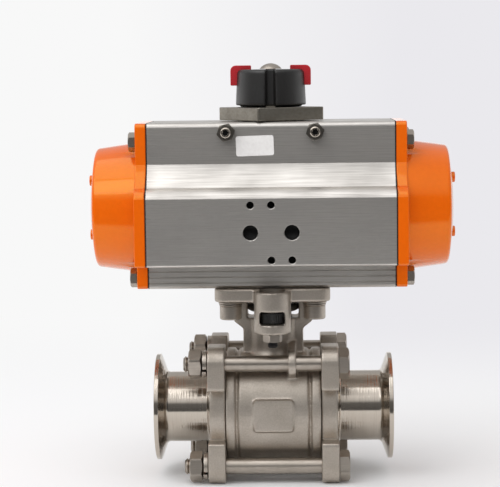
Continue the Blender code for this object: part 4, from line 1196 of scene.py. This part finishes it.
@dataclass
class ActuatorProfile:
    """Cross-section of the actuator extrusion, with its narrow top, coved shoulders and wide middle."""

    upper: float = 31.5
    lower: float = 31.0
    bulge: float = 47.0
    bulge_rise: float = 14.2
    bulge_height: float = 39.6
    nose: float = 9.0
    nose_start: float = 20.0
    nose_turn: float = 75.0
    nose_lip: float = 0.4
    cove: float = 42.0
    cove_start: float = 20.0
    top_edge: float = 3.0
    low_edge: float = 1.5
    groove: tuple[float, float] = (0.9, 0.55)
    grooves: tuple[float, ...] = (3.4, 6.8, 10.2)

    def outline(self, bottom: float, top: float, grooved: bool = False) -> Outline:
        """Outline in (Y, Z).

        Args:
            bottom: Height of the extrusion's underside.
            top: Height of its top.
            grooved: Whether the lower wall has its fine grooves.

        Returns:
            The closed outline.
        """
        step = bottom + self.bulge_rise
        lower = self.lower
        start = math.radians(self.nose_start)
        nose_y = self.bulge - self.nose * math.cos(start)
        nose_z = step + self.bulge_height - self.nose * math.sin(start)
        nose = arc((nose_y, nose_z), self.nose, self.nose_start, self.nose_turn, 10)
        cove_y = self.upper + self.cove * math.cos(math.radians(self.cove_start))
        cove_end = nose[-1][0] - self.low_edge
        cove_turn = math.degrees(math.acos((cove_y - cove_end) / self.cove))
        cove_z = nose[-1][1] + self.cove * math.sin(math.radians(cove_turn)) + self.nose_lip
        half = [(lower - self.low_edge, bottom), (lower, bottom + self.low_edge)]
        if grooved:
            wide, deep = self.groove
            for rise in self.grooves:
                middle = bottom + rise
                half += [(lower, middle - wide / 2), (lower - deep, middle - wide / 4)]
                half += [(lower - deep, middle + wide / 4), (lower, middle + wide / 2)]
        half += [(lower, step)]
        half += arc((self.bulge - self.low_edge, step + self.low_edge), self.low_edge, 270, 360, 5)
        half += nose
        half += arc((cove_y, cove_z), self.cove, 180 + cove_turn, 180 + self.cove_start, 18)
        half += arc((self.upper - self.top_edge, top - self.top_edge), self.top_edge, 0, 90, 8)
        return half + [(-y, z) for y, z in reversed(half)]


@dataclass
class ActuatorBody:
    """Extruded actuator body with the air ports and the pilot valve's screw holes."""

    profile: ActuatorProfile
    port: float = 4.4
    port_spacing: float = 24.0
    port_rise: float = 34.0
    port_depth: float = 8.0
    port_pitch: float = 0.9
    screw_hole: float = 2.15
    screw_rise: float = 16.0
    screw_depth: float = 8.0
    chamfer: float = 0.45
    recess: tuple[float, float] = (17.3, 10.0)
    seam: float = 0.25

    def build(self) -> None:
        """Extrude the section and drill the front face."""
        low, high = span("actuator_body")
        outline = self.profile.outline(low.z, high.z, grooved=True)
        body = thing_from("actuator_extrusion", prism(Axis.X, outline, low.x - self.seam, high.x + self.seam))
        port_z = low.z + self.port_rise
        step = self.port_spacing / 2
        above = port_z + self.screw_rise
        below = port_z - self.screw_rise
        places = [(-step, above), (0, above), (0, below), (step, below)]
        holes = [(*spot, self.screw_hole, self.screw_depth) for spot in places]
        holes += [(side.value * step, port_z, self.port, self.port_depth) for side in Side]
        cuts = [self.drill((x, z), radius, depth, low.y) for x, z, radius, depth in holes]
        wide, deep = self.recess
        cuts.append(bar(Axis.Z, (0, 0), wide, low.z - 1, low.z + deep, ROUND_SIDES))
        combine(body, cuts, "DIFFERENCE")
        dress(body, BRUSHED_ALUMINIUM, Body.HOUSING, "actuator_body", crease=FINE_CREASE)

        def inside(spot: Vector) -> bool:
            """Whether a place is on the wall of a drilled hole.

            Args:
                spot: The place, in millimetres.

            Returns:
                True on the wall below the chamfer.
            """
            if not low.y + self.chamfer + 0.1 < spot.y < low.y + 2 * self.port_depth:
                return False
            return any(math.hypot(spot.x - x, spot.z - z) < radius + 0.5 for x, z, radius, _ in holes)

        # The walls of the ports and screw holes get a near-black painted shade.
        line_holes(body, PAINTED_SHADE_BORE, inside)

    def drill(self, place_xz: tuple[float, float], radius: float, depth: float, face: float) -> Solid:
        """Threaded hole with a chamfered mouth, as a cutter.

        Args:
            place_xz: Where the hole is on the front face.
            radius: Its radius.
            depth: Its depth.
            face: Where the front face lies along Y.

        Returns:
            The solid that is cut out.
        """
        mouth = radius + self.chamfer
        rows = [(0, face - 0.5), (mouth + 0.5, face - 0.5), (radius, face + self.chamfer)]
        for along in range(1, int(depth / self.port_pitch)):
            ring = face + self.chamfer + along * self.port_pitch
            rows += [(radius + 0.3, ring - self.port_pitch / 2), (radius, ring)]
        rows += [(radius, face + depth), (0, face + depth + radius / 2)]
        return lofted(Axis.Y, place_xz, rows, SMALL_SIDES)


@dataclass
class EndCap:
    """Painted end cap: a flange of the body's outline, a tapered drum with a coned end, and screws."""

    side: Side
    profile: ActuatorProfile
    flange: float = 6.2
    seam: float = 0.25
    flange_edge: float = 0.7
    root: float = 39.0
    rim: float = 35.5
    rim_fillet: float = 2.5
    end: float = 107.0
    cone: float = 2.2
    face: float = 20.5
    boss: float = 3.2
    boss_half: float = 16.25
    boss_proud: float = 2.6
    boss_edge: float = 0.5
    overlap: float = 3.0
    relief: float = 9.0
    screw_places: tuple[float, float] = (24.0, 40.0)
    screw_flats: float = 10.0
    screw_turn: float = 30.0
    screw_head: float = 4.0
    screw_radius: float = 3.0
    screw_length: float = 20.0

    def build(self) -> None:
        """Make the cap and its screws."""
        body_low, body_high = span("actuator_body")
        low, high = span(f"{self.side.word}_end_cap")
        sign = self.side.value
        inner = min(abs(low.x), abs(high.x))
        shoulder = inner + self.flange
        axis_z = axis_at(f"{self.side.word}_piston_ring", Axis.X)[1]
        outline = self.profile.outline(body_low.z, body_high.z)
        half = soften([
            (0, shoulder - self.overlap, 0),
            (self.root, shoulder - self.overlap, 0),
            (self.root, shoulder + 0.2, 0.2),
            (self.rim, self.end - self.cone, self.rim_fillet),
            (self.face, self.end, self.rim_fillet),
            (0, self.end, 0),
        ], 8)
        drum = [(radius, sign * along) for radius, along in half]
        cap = thing_from(f"{self.side.word}_painted_cap", lofted(Axis.X, (0, axis_z), drum, WIDE_SIDES))
        # The drum is cut before the flange is joined, so that no cut ends in the plane of the flange's face.
        cuts = []
        below = sign * (shoulder - self.overlap / 2)
        for out, up in QUARTERS:
            spot = (out * self.screw_places[0], axis_z + up * self.screw_places[1])
            cuts.append(bar(Axis.X, spot, self.relief, below, sign * 2 * self.end, ROUND_SIDES))
        combine(cap, cuts, "DIFFERENCE")
        back = sign * (inner - self.seam)
        joined = [prism(Axis.X, outline, back, sign * shoulder, self.flange_edge, steps=6)]
        foot = sign * (self.end - self.overlap)
        top = sign * (self.end + self.boss_proud)
        for up in (-1, 1):
            boss = arc((0, axis_z + up * self.boss_half), self.boss, 0, 345, 23)
            joined.append(prism(Axis.X, boss, foot, top, self.boss_edge))
        combine(cap, joined, "UNION")
        dress(cap, ORANGE_COAT, Body.HOUSING, f"{self.side.word}_end_cap", crease=FINE_CREASE)
        for level in ("upper", "lower"):
            for face in ("front", "rear"):
                self.build_screw(f"{self.side.word}_cap_screw_{level}_{face}")

    def build_screw(self, node: str) -> None:
        """Make one hexagon screw of the cap.

        Args:
            node: Frame node that it stands for.
        """
        low, high = span(node)
        sign = self.side.value
        outer = max(abs(low.x), abs(high.x))
        seat = outer - self.screw_head
        centre = axis_at(node, Axis.X)
        head = hex_solid(Axis.X, centre, self.screw_flats, sign * seat, sign * outer, self.screw_turn)
        tip = sign * (seat - self.screw_length)
        shank = bar(Axis.X, centre, self.screw_radius, tip, sign * (seat + 1), SMALL_SIDES // 2)
        screw = thing_from(node.replace("cap_screw", "cap_hex_screw"), head)
        combine(screw, [shank], "UNION")
        dress(screw, FASTENER_STAINLESS, Body.HOUSING, node)


@dataclass
class StopScrew:
    """Socket set screw that limits the stroke, locked by a hexagon nut."""

    side: Side
    radius: float = 3.0
    socket: float = 3.2
    socket_turn: float = 10.0
    pitch: float = 1.0
    flats: float = 9.5
    nut_turn: float = 12.0

    def build(self) -> None:
        """Make the screw and its nut."""
        node = f"{self.side.word}_stop_screw"
        nut = f"{self.side.word}_stop_nut"
        low, high = span(node)
        nut_face = span(nut)[0].y
        centre = axis_at(node, Axis.Y)
        reach = hex_reach(self.socket, self.socket_turn)
        # The small lengths break each rim.
        rows = [
            (0, low.y + self.socket),
            (reach, low.y + self.socket),
            (reach, low.y + 0.2),
            (lambda angle: reach(angle) + 0.2, low.y),
            (self.radius - 0.5, low.y),
        ]
        rows += thread_rows(self.radius, low.y + 0.5, nut_face, self.pitch)
        rows += [(self.radius, nut_face + 0.3), (self.radius, high.y), (0, high.y)]
        screw = thing_from(f"{self.side.word}_stop_set_screw", lofted(Axis.Y, centre, rows, HEX_SIDES))
        dress(screw, POLISHED_STAINLESS, Body.HOUSING, node)

        def inside(spot: Vector) -> bool:
            """Whether a place is in the socket."""
            off = math.hypot(spot.x - centre[0], spot.z - centre[1])
            return spot.y > low.y + 0.15 and off < self.socket * 0.6

        # The walls of the socket get a near-black painted shade.
        line_holes(screw, PAINTED_SHADE_BORE, inside)
        name = f"{self.side.word}_stop_lock_nut"
        add_nut(name, nut, Axis.Y, self.flats, self.nut_turn, self.radius, DARK_STEEL)


@dataclass
class Indicator:
    """Index plate, slotted knob, pointers and screw that turn with the pinion."""

    plate: float = 46.0
    recess: tuple[float, float] = (17.4, 0.7)
    plate_turn: float = 32.6
    plate_corner: float = 1.6
    plate_edge: float = 0.5
    play: float = 0.3
    base: float = 18.3
    base_height: float = 0.9
    notch: float = 5.8
    root: float = 21.0
    root_edge: float = 0.6
    crown: float = 20.0
    crown_edge: float = 2.4
    groove: tuple[float, float] = (3.9, 3.0)
    groove_flare: float = 2.0
    groove_fillet: float = 0.8
    pointer_top: float = 3.4
    pointer_side: float = 4.8
    pointer_edge: float = 0.45
    pointer_tip: float = 0.7
    pointer_bend: tuple[float, float] = (1.0, 3.2)
    screw_head: float = 3.3
    screw_radius: float = 3.0

    def build(self) -> None:
        """Make the plate, the knob, the pointers and the screw."""
        self.build_plate()
        self.build_knob()
        for side in Side:
            self.build_pointer(side)
        self.build_screw()

    def build_plate(self) -> None:
        """Make the square plate."""
        low, high = span("indicator_plate")
        shape = rounded_rectangle((self.plate, self.plate), self.plate_corner, turn=self.plate_turn)
        top = span("indicator_knob")[0].z - self.play
        wide, deep = self.recess
        plate = thing_from("index_plate", prism(Axis.Z, shape, low.z, top, self.plate_edge))
        combine(plate, [bar(Axis.Z, (0, 0), wide, low.z - 1, low.z + deep, CUT_SIDES)], "DIFFERENCE")
        half = self.notch / 2 - self.play
        key = block((-half, -self.base, top - 1), (half, self.groove[1] - self.base, high.z))
        combine(plate, [key], "UNION")
        dress(plate, ZINC_STEEL, Body.ROTOR, "indicator_plate")

    def build_knob(self) -> None:
        """Make the black knob, a tapered drum on a smaller foot, slotted at its front and rear."""
        low, high = span("indicator_knob")
        skirt = low.z + self.base_height
        rows = soften([
            (0, skirt, 0),
            (self.root, skirt, self.root_edge),
            (self.crown, high.z, self.crown_edge),
            (0, high.z, 0),
        ], 8)
        knob = thing_from("indicator_drum", lofted(Axis.Z, (0, 0), rows))
        combine(knob, [bar(Axis.Z, (0, 0), self.base, low.z, skirt + 1, ROUND_SIDES)], "UNION")
        wide, deep = self.groove
        cuts = []
        for way in (-1, 1):
            past = self.root + 1
            mouth = wide / 2 + self.groove_flare
            foot = self.crown - deep
            fillet = self.groove_fillet
            bottom = [(-wide / 2, foot, fillet), (wide / 2, foot, fillet)]
            corners = bottom + [(mouth, past, 0), (-mouth, past, 0)]
            slot = [(u, way * v) for u, v in soften(corners)]
            cuts.append(prism(Axis.Z, slot, skirt - 1, high.z + 1))
            near, far = sorted((way * (self.base - deep), way * past))
            cuts.append(block((-self.notch / 2, near, low.z - 1), (self.notch / 2, far, skirt)))
        combine(knob, cuts, "DIFFERENCE")
        cast(knob, cell=0.45, rounds=5, keep=0.4)
        dress(knob, BLACK_NYLON, Body.ROTOR, "indicator_knob")

    def build_pointer(self, side: Side) -> None:
        """Make one red pointer, an L over the knob's shoulder.

        Args:
            side: Which pointer.
        """
        low, high = span(f"{side.word}_pointer")
        tip = min(abs(low.x), abs(high.x))
        outer = max(abs(low.x), abs(high.x))
        corner = outer - self.pointer_side
        inside, outside = self.pointer_bend
        shape = soften([
            (tip, high.z - self.pointer_top, self.pointer_tip),
            (corner, high.z - self.pointer_top, inside),
            (corner, low.z, self.pointer_tip),
            (outer, low.z, self.pointer_tip),
            (outer, high.z, outside),
            (tip, high.z, self.pointer_tip),
        ])
        outline = [(side.value * u, v) for u, v in shape]
        solid = prism(Axis.Y, outline, low.y, high.y, self.pointer_edge)
        pointer = thing_from(f"{side.word}_red_pointer", solid)
        dress(pointer, RED_ABS, Body.ROTOR, f"{side.word}_pointer")

    def build_screw(self) -> None:
        """Make the domed screw."""
        low, high = span("indicator_screw")
        head = (high.x - low.x) / 2
        under = high.z - self.screw_head
        dome = (head ** 2 + self.screw_head ** 2) / (2 * self.screw_head)
        spread = math.degrees(math.asin(head / dome))
        rows = arc((0, high.z - dome), dome, 90, 90 - spread, 12)
        rows[0] = (0, high.z)
        rows += [(self.screw_radius, under), (self.screw_radius, low.z), (0, low.z)]
        screw = thing_from("domed_screw", lofted(Axis.Z, (0, 0), rows, SMALL_SIDES))
        dress(screw, FASTENER_STAINLESS, Body.ROTOR, "indicator_screw")


@dataclass
class BlankLabel:
    """Small paper label on the upper wall."""

    size: tuple[float, float] = (22.0, 11.7)
    place: tuple[float, float] = (-9.2, 199.6)
    turn: float = 1.6
    thickness: float = 0.15
    sink: float = 0.1
    corner: float = 1.2

    def build(self) -> None:
        """Make the label on the front of the upper wall."""
        wall = -ActuatorProfile().upper
        shape = rounded_rectangle(self.size, self.corner, self.place, self.turn)
        label = thing_from("blank_label", prism(Axis.Y, shape, wall - self.thickness, wall + self.sink))
        dress(label, LABEL_PAPER, Body.HOUSING)


@dataclass
class InnerPieces:
    """Frame nodes that keep their own shape: what lies inside, the stem and the gaskets."""

    def build(self) -> None:
        """Give each kept node its finish."""
        finishes = {
            POLISHED_STAINLESS: ("ball",),
            DARK_STEEL: ("stem", "pinion", "stop_cam"),
            WHITE_PTFE: ("left_seat", "right_seat", "left_body_seal", "right_body_seal", "stem_packing"),
            ACETAL: ("lower_pinion_bearing", "upper_pinion_bearing"),
            BRUSHED_ALUMINIUM: ("left_piston", "right_piston"),
            BLACK_NITRILE: ("left_piston_ring", "right_piston_ring", "left_cap_gasket", "right_cap_gasket"),
        }
        for finish, nodes in finishes.items():
            for node in nodes:
                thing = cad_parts[node]
                thing.data.materials.clear()
                thing.data.materials.append(finish.material())
                LOG.info("%s: %s, as in the frame", node, finish.name)


@dataclass
class Lamp:
    """One soft box."""

    name: str
    place: tuple[float, float, float]
    size: tuple[float, float]
    radiance: float
    aim: tuple[float, float, float] = (0.0, 0.0, 0.15)

    def build(self) -> None:
        """Hang the soft box and point it."""
        light = bpy.data.lights.new(self.name, "AREA")
        light.shape = "RECTANGLE"
        light.size, light.size_y = self.size
        light.energy = self.radiance * math.pi * self.size[0] * self.size[1]
        lamp = bpy.data.objects.new(self.name, light)
        lamp.location = self.place
        lamp.rotation_euler = (Vector(self.aim) - Vector(self.place)).to_track_quat("-Z", "Y").to_euler()
        bpy.context.scene.collection.objects.link(lamp)
        LOG.info("%s lamp, %.1f W", self.name, light.energy)


def grey_ramp(tree: bpy.types.NodeTree, value: bpy.types.NodeSocket, stops: Outline) -> bpy.types.NodeSocket:
    """Grey level that follows a value through given stops.

    Args:
        tree: Node tree that the nodes join.
        value: The value.
        stops: Value and level of each stop, lowest value first.

    Returns:
        The socket that gives the level.
    """
    low = stops[0][0]
    high = stops[-1][0]
    share = add_node(tree, "ShaderNodeMapRange", {"Value": value, "From Min": low, "From Max": high})
    ramp = add_node(tree, "ShaderNodeValToRGB", {"Fac": share.outputs["Result"]})
    elements = ramp.color_ramp.elements
    for index, (place_at, level) in enumerate(stops):
        position = (place_at - low) / (high - low)
        element = elements[index] if index < 2 else elements.new(position)
        element.position = position
        element.color = (level, level, level, 1)
    return ramp.outputs["Color"]


@dataclass
class Studio:
    """Pale table, soft boxes and a room that is white to the camera and shaded to the metal.

    Attributes:
        floor_colour: Colour of the table.
        backdrops: Backdrop's colours at the left and at the right of the valve.
        backdrop_span: Sines of the angles between which the backdrop changes from one to the other.
        floor_half: Half the table's size in metres.
        floor_reach: Metres from the camera at which the table's backdrop lines up with the world's.
        table: Depth in metres and brightness of the table as metal sees it.
        room: Sine of the height angle and brightness of the room in front as metal sees it.
        back: The same for the room behind the valve.
        rear: Sines of the angles to the rear between which the front passes into the back.
        across: Sine of the angle to the right and what the front's brightness is multiplied by there.
        fade: Depths in metres between which the table fades into the backdrop.
        ambient: Sine of the angle to the right and brightness of the room to paint and plastic.
    """

    floor_colour: str = "#f7f7f8"
    backdrops: tuple[str, str] = ("#f8f8f8", "#eae9ed")
    backdrop_span: tuple[float, float] = (-0.095, 0.056)
    floor_half: float = 4.0
    floor_reach: float = 1.4
    table: tuple[tuple[float, float], ...] = ((-0.8, 0.12), (-0.34, 0.12), (-0.26, 0.92))
    room: tuple[tuple[float, float], ...] = (
        (0.0, 0.14), (0.28, 0.18), (0.42, 0.8), (0.62, 1.08), (0.8, 1.0), (1.0, 0.7)
    )
    back: tuple[tuple[float, float], ...] = ((0.1, 1.1), (0.35, 0.5), (1.0, 0.65))
    across: tuple[tuple[float, float], ...] = ((0.12, 1.0), (0.8, 0.25))
    rear: tuple[float, float] = (-0.25, 0.35)
    fade: tuple[float, float] = (0.08, 0.7)
    ambient: tuple[tuple[float, float], ...] = ((-1.0, 1.04), (0.1, 0.88), (1.0, 0.5))

    def build(self) -> None:
        """Make the floor, the world and the lamps."""
        self.build_floor()
        self.build_world()
        lamps = [
            Lamp("top", (-0.25, -0.25, 1.15), (1.1, 0.7), 1.0),
            Lamp("left", (-0.7, -0.8, 1.0), (0.7, 0.55), 1.8),
            Lamp("right", (1.1, -0.5, 0.55), (0.4, 0.8), 0.3),
        ]
        for lamp in lamps:
            lamp.build()

    def backdrop(self, tree: bpy.types.NodeTree, across: bpy.types.NodeSocket,
                 reach: float) -> bpy.types.NodeSocket:
        """Backdrop colour, lighter on the left.

        Args:
            tree: Node tree that the nodes join.
            across: Value that grows from left to right.
            reach: Size of that value at the sine of 1.

        Returns:
            The socket that gives the colour.
        """
        left, right = self.backdrop_span
        share = add_node(
            tree, "ShaderNodeMapRange", {"Value": across, "From Min": left * reach, "From Max": right * reach}
        ).outputs["Result"]
        first, second = self.backdrops
        colours = {"Factor": share, "A": linear(first), "B": linear(second)}
        return add_node(tree, "ShaderNodeMix", colours, data_type="RGBA").outputs["Result"]

    def build_floor(self) -> None:
        """Make the floor: it fades into the backdrop behind, and metal sees it dim in front of the valve."""
        half = self.floor_half / MM
        corners = [(-half, -half), (half, -half), (half, half), (-half, half)]
        mesh = bpy.data.meshes.new("floor")
        mesh.from_pydata([place(Axis.Z, u, v, 0) for u, v in corners], [], [(0, 1, 2, 3)])
        floor = bpy.data.objects.new("floor", mesh)
        bpy.context.scene.collection.objects.link(floor)
        material = bpy.data.materials.new("pale_table_top")
        material.use_nodes = True
        tree = material.node_tree
        tree.nodes.clear()
        coords = add_node(tree, "ShaderNodeTexCoord").outputs["Object"]
        parts = add_node(tree, "ShaderNodeSeparateXYZ", {0: coords}).outputs
        path = add_node(tree, "ShaderNodeLightPath").outputs
        mixed = add_node(
            tree,
            "ShaderNodeMix",
            {
                "Factor": path["Is Glossy Ray"],
                "A": linear(self.floor_colour),
                "B": grey_ramp(tree, parts["Y"], self.table),
            },
            data_type="RGBA",
        ).outputs["Result"]
        paper = add_node(tree, "ShaderNodeBsdfDiffuse", {"Color": mixed}).outputs[0]
        colour = self.backdrop(tree, parts["X"], self.floor_reach)
        backdrop = add_node(tree, "ShaderNodeEmission", {"Color": colour, "Strength": 1.0})
        far = add_node(
            tree,
            "ShaderNodeMapRange",
            {"Value": parts["Y"], "From Min": self.fade[0], "From Max": self.fade[1]},
            interpolation_type="SMOOTHSTEP",
        ).outputs["Result"]
        faded = add_node(tree, "ShaderNodeMath", {0: far, 1: path["Is Camera Ray"]}, operation="MULTIPLY")
        seen = add_node(tree, "ShaderNodeMixShader", {0: faded.outputs[0], 1: paper, 2: backdrop.outputs[0]})
        add_node(tree, "ShaderNodeOutputMaterial", {"Surface": seen.outputs[0]})
        mesh.materials.append(material)
        LOG.info("floor: %s", material.name)

    def build_world(self) -> None:
        """Make the world: white to the camera, even light to paint, a room with a dim front to metal."""
        world = bpy.data.worlds.new("studio")
        bpy.context.scene.world = world
        world.use_nodes = True
        world.cycles.sampling_method = "NONE"
        tree = world.node_tree
        tree.nodes.clear()
        direction = add_node(tree, "ShaderNodeTexCoord").outputs["Generated"]
        parts = add_node(tree, "ShaderNodeSeparateXYZ", {0: direction}).outputs
        start, end = self.rear
        behind = add_node(
            tree, "ShaderNodeMapRange", {"Value": parts["Y"], "From Min": start, "From Max": end}
        ).outputs["Result"]
        backdrop = self.backdrop(tree, parts["X"], 1.0)
        levels = {
            "Factor": 1.0,
            "A": grey_ramp(tree, parts["Z"], self.room),
            "B": grey_ramp(tree, parts["X"], self.across),
        }
        front = add_node(
            tree, "ShaderNodeMix", levels, data_type="RGBA", blend_type="MULTIPLY"
        ).outputs["Result"]
        room = add_node(
            tree,
            "ShaderNodeMix",
            {"Factor": behind, "A": front, "B": grey_ramp(tree, parts["Z"], self.back)},
            data_type="RGBA",
        ).outputs["Result"]
        path = add_node(tree, "ShaderNodeLightPath").outputs
        soft = grey_ramp(tree, parts["X"], self.ambient)
        even = add_node(tree, "ShaderNodeBackground", {"Color": soft, "Strength": 1.0}).outputs[0]
        metal = add_node(tree, "ShaderNodeBackground", {"Color": room, "Strength": 1.0}).outputs[0]
        white = add_node(tree, "ShaderNodeBackground", {"Color": backdrop, "Strength": 1.0}).outputs[0]
        lit = add_node(tree, "ShaderNodeMixShader", {0: path["Is Glossy Ray"], 1: even, 2: metal}).outputs[0]
        seen = add_node(tree, "ShaderNodeMixShader", {0: path["Is Camera Ray"], 1: lit, 2: white}).outputs[0]
        add_node(tree, "ShaderNodeOutputWorld", {"Surface": seen})
        LOG.info("world: %s", world.name)


@dataclass
class Photographer:
    """Camera at the photograph's viewing angle."""

    place: tuple[float, float, float] = (16.0, -1080.0, 240.7)
    pitch: float = 5.35
    yaw: float = 1.568
    roll: float = -0.7
    lens: float = 129.6

    def build(self) -> None:
        """Set up the camera."""
        data = bpy.data.cameras.new("camera")
        data.lens = self.lens
        camera = bpy.data.objects.new("camera", data)
        turn = Matrix.Rotation(math.radians(self.yaw), 4, "Z")
        tilt = Matrix.Rotation(math.radians(90 - self.pitch), 4, "X")
        roll = Matrix.Rotation(math.radians(self.roll), 4, "Z")
        camera.matrix_world = Matrix.Translation(Vector(self.place) * MM) @ turn @ tilt @ roll
        bpy.context.scene.collection.objects.link(camera)
        bpy.context.scene.camera = camera
        LOG.info("camera: %.1f mm lens", data.lens)


def main() -> None:
    """Build the camera, the studio and every sub-assembly in order."""
    logging.basicConfig(level=logging.INFO, format="%(message)s")
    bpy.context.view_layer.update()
    bpy.context.scene.view_settings.view_transform = "Standard"
    profile = ActuatorProfile()
    assemblies = [Photographer(), Studio(), InnerPieces()]
    assemblies += [PipeEnd(side) for side in Side]
    assemblies += [CentreCasting(), ThroughBolts(), PadScrews(), LockScrew(), ActuatorBody(profile)]
    assemblies += [EndCap(side, profile) for side in Side]
    assemblies += [StopScrew(side) for side in Side]
    assemblies += [Indicator(), BlankLabel()]
    for assembly in assemblies:
        assembly.build()
    bpy.context.view_layer.update()


if __name__ == "__main__":
    main()
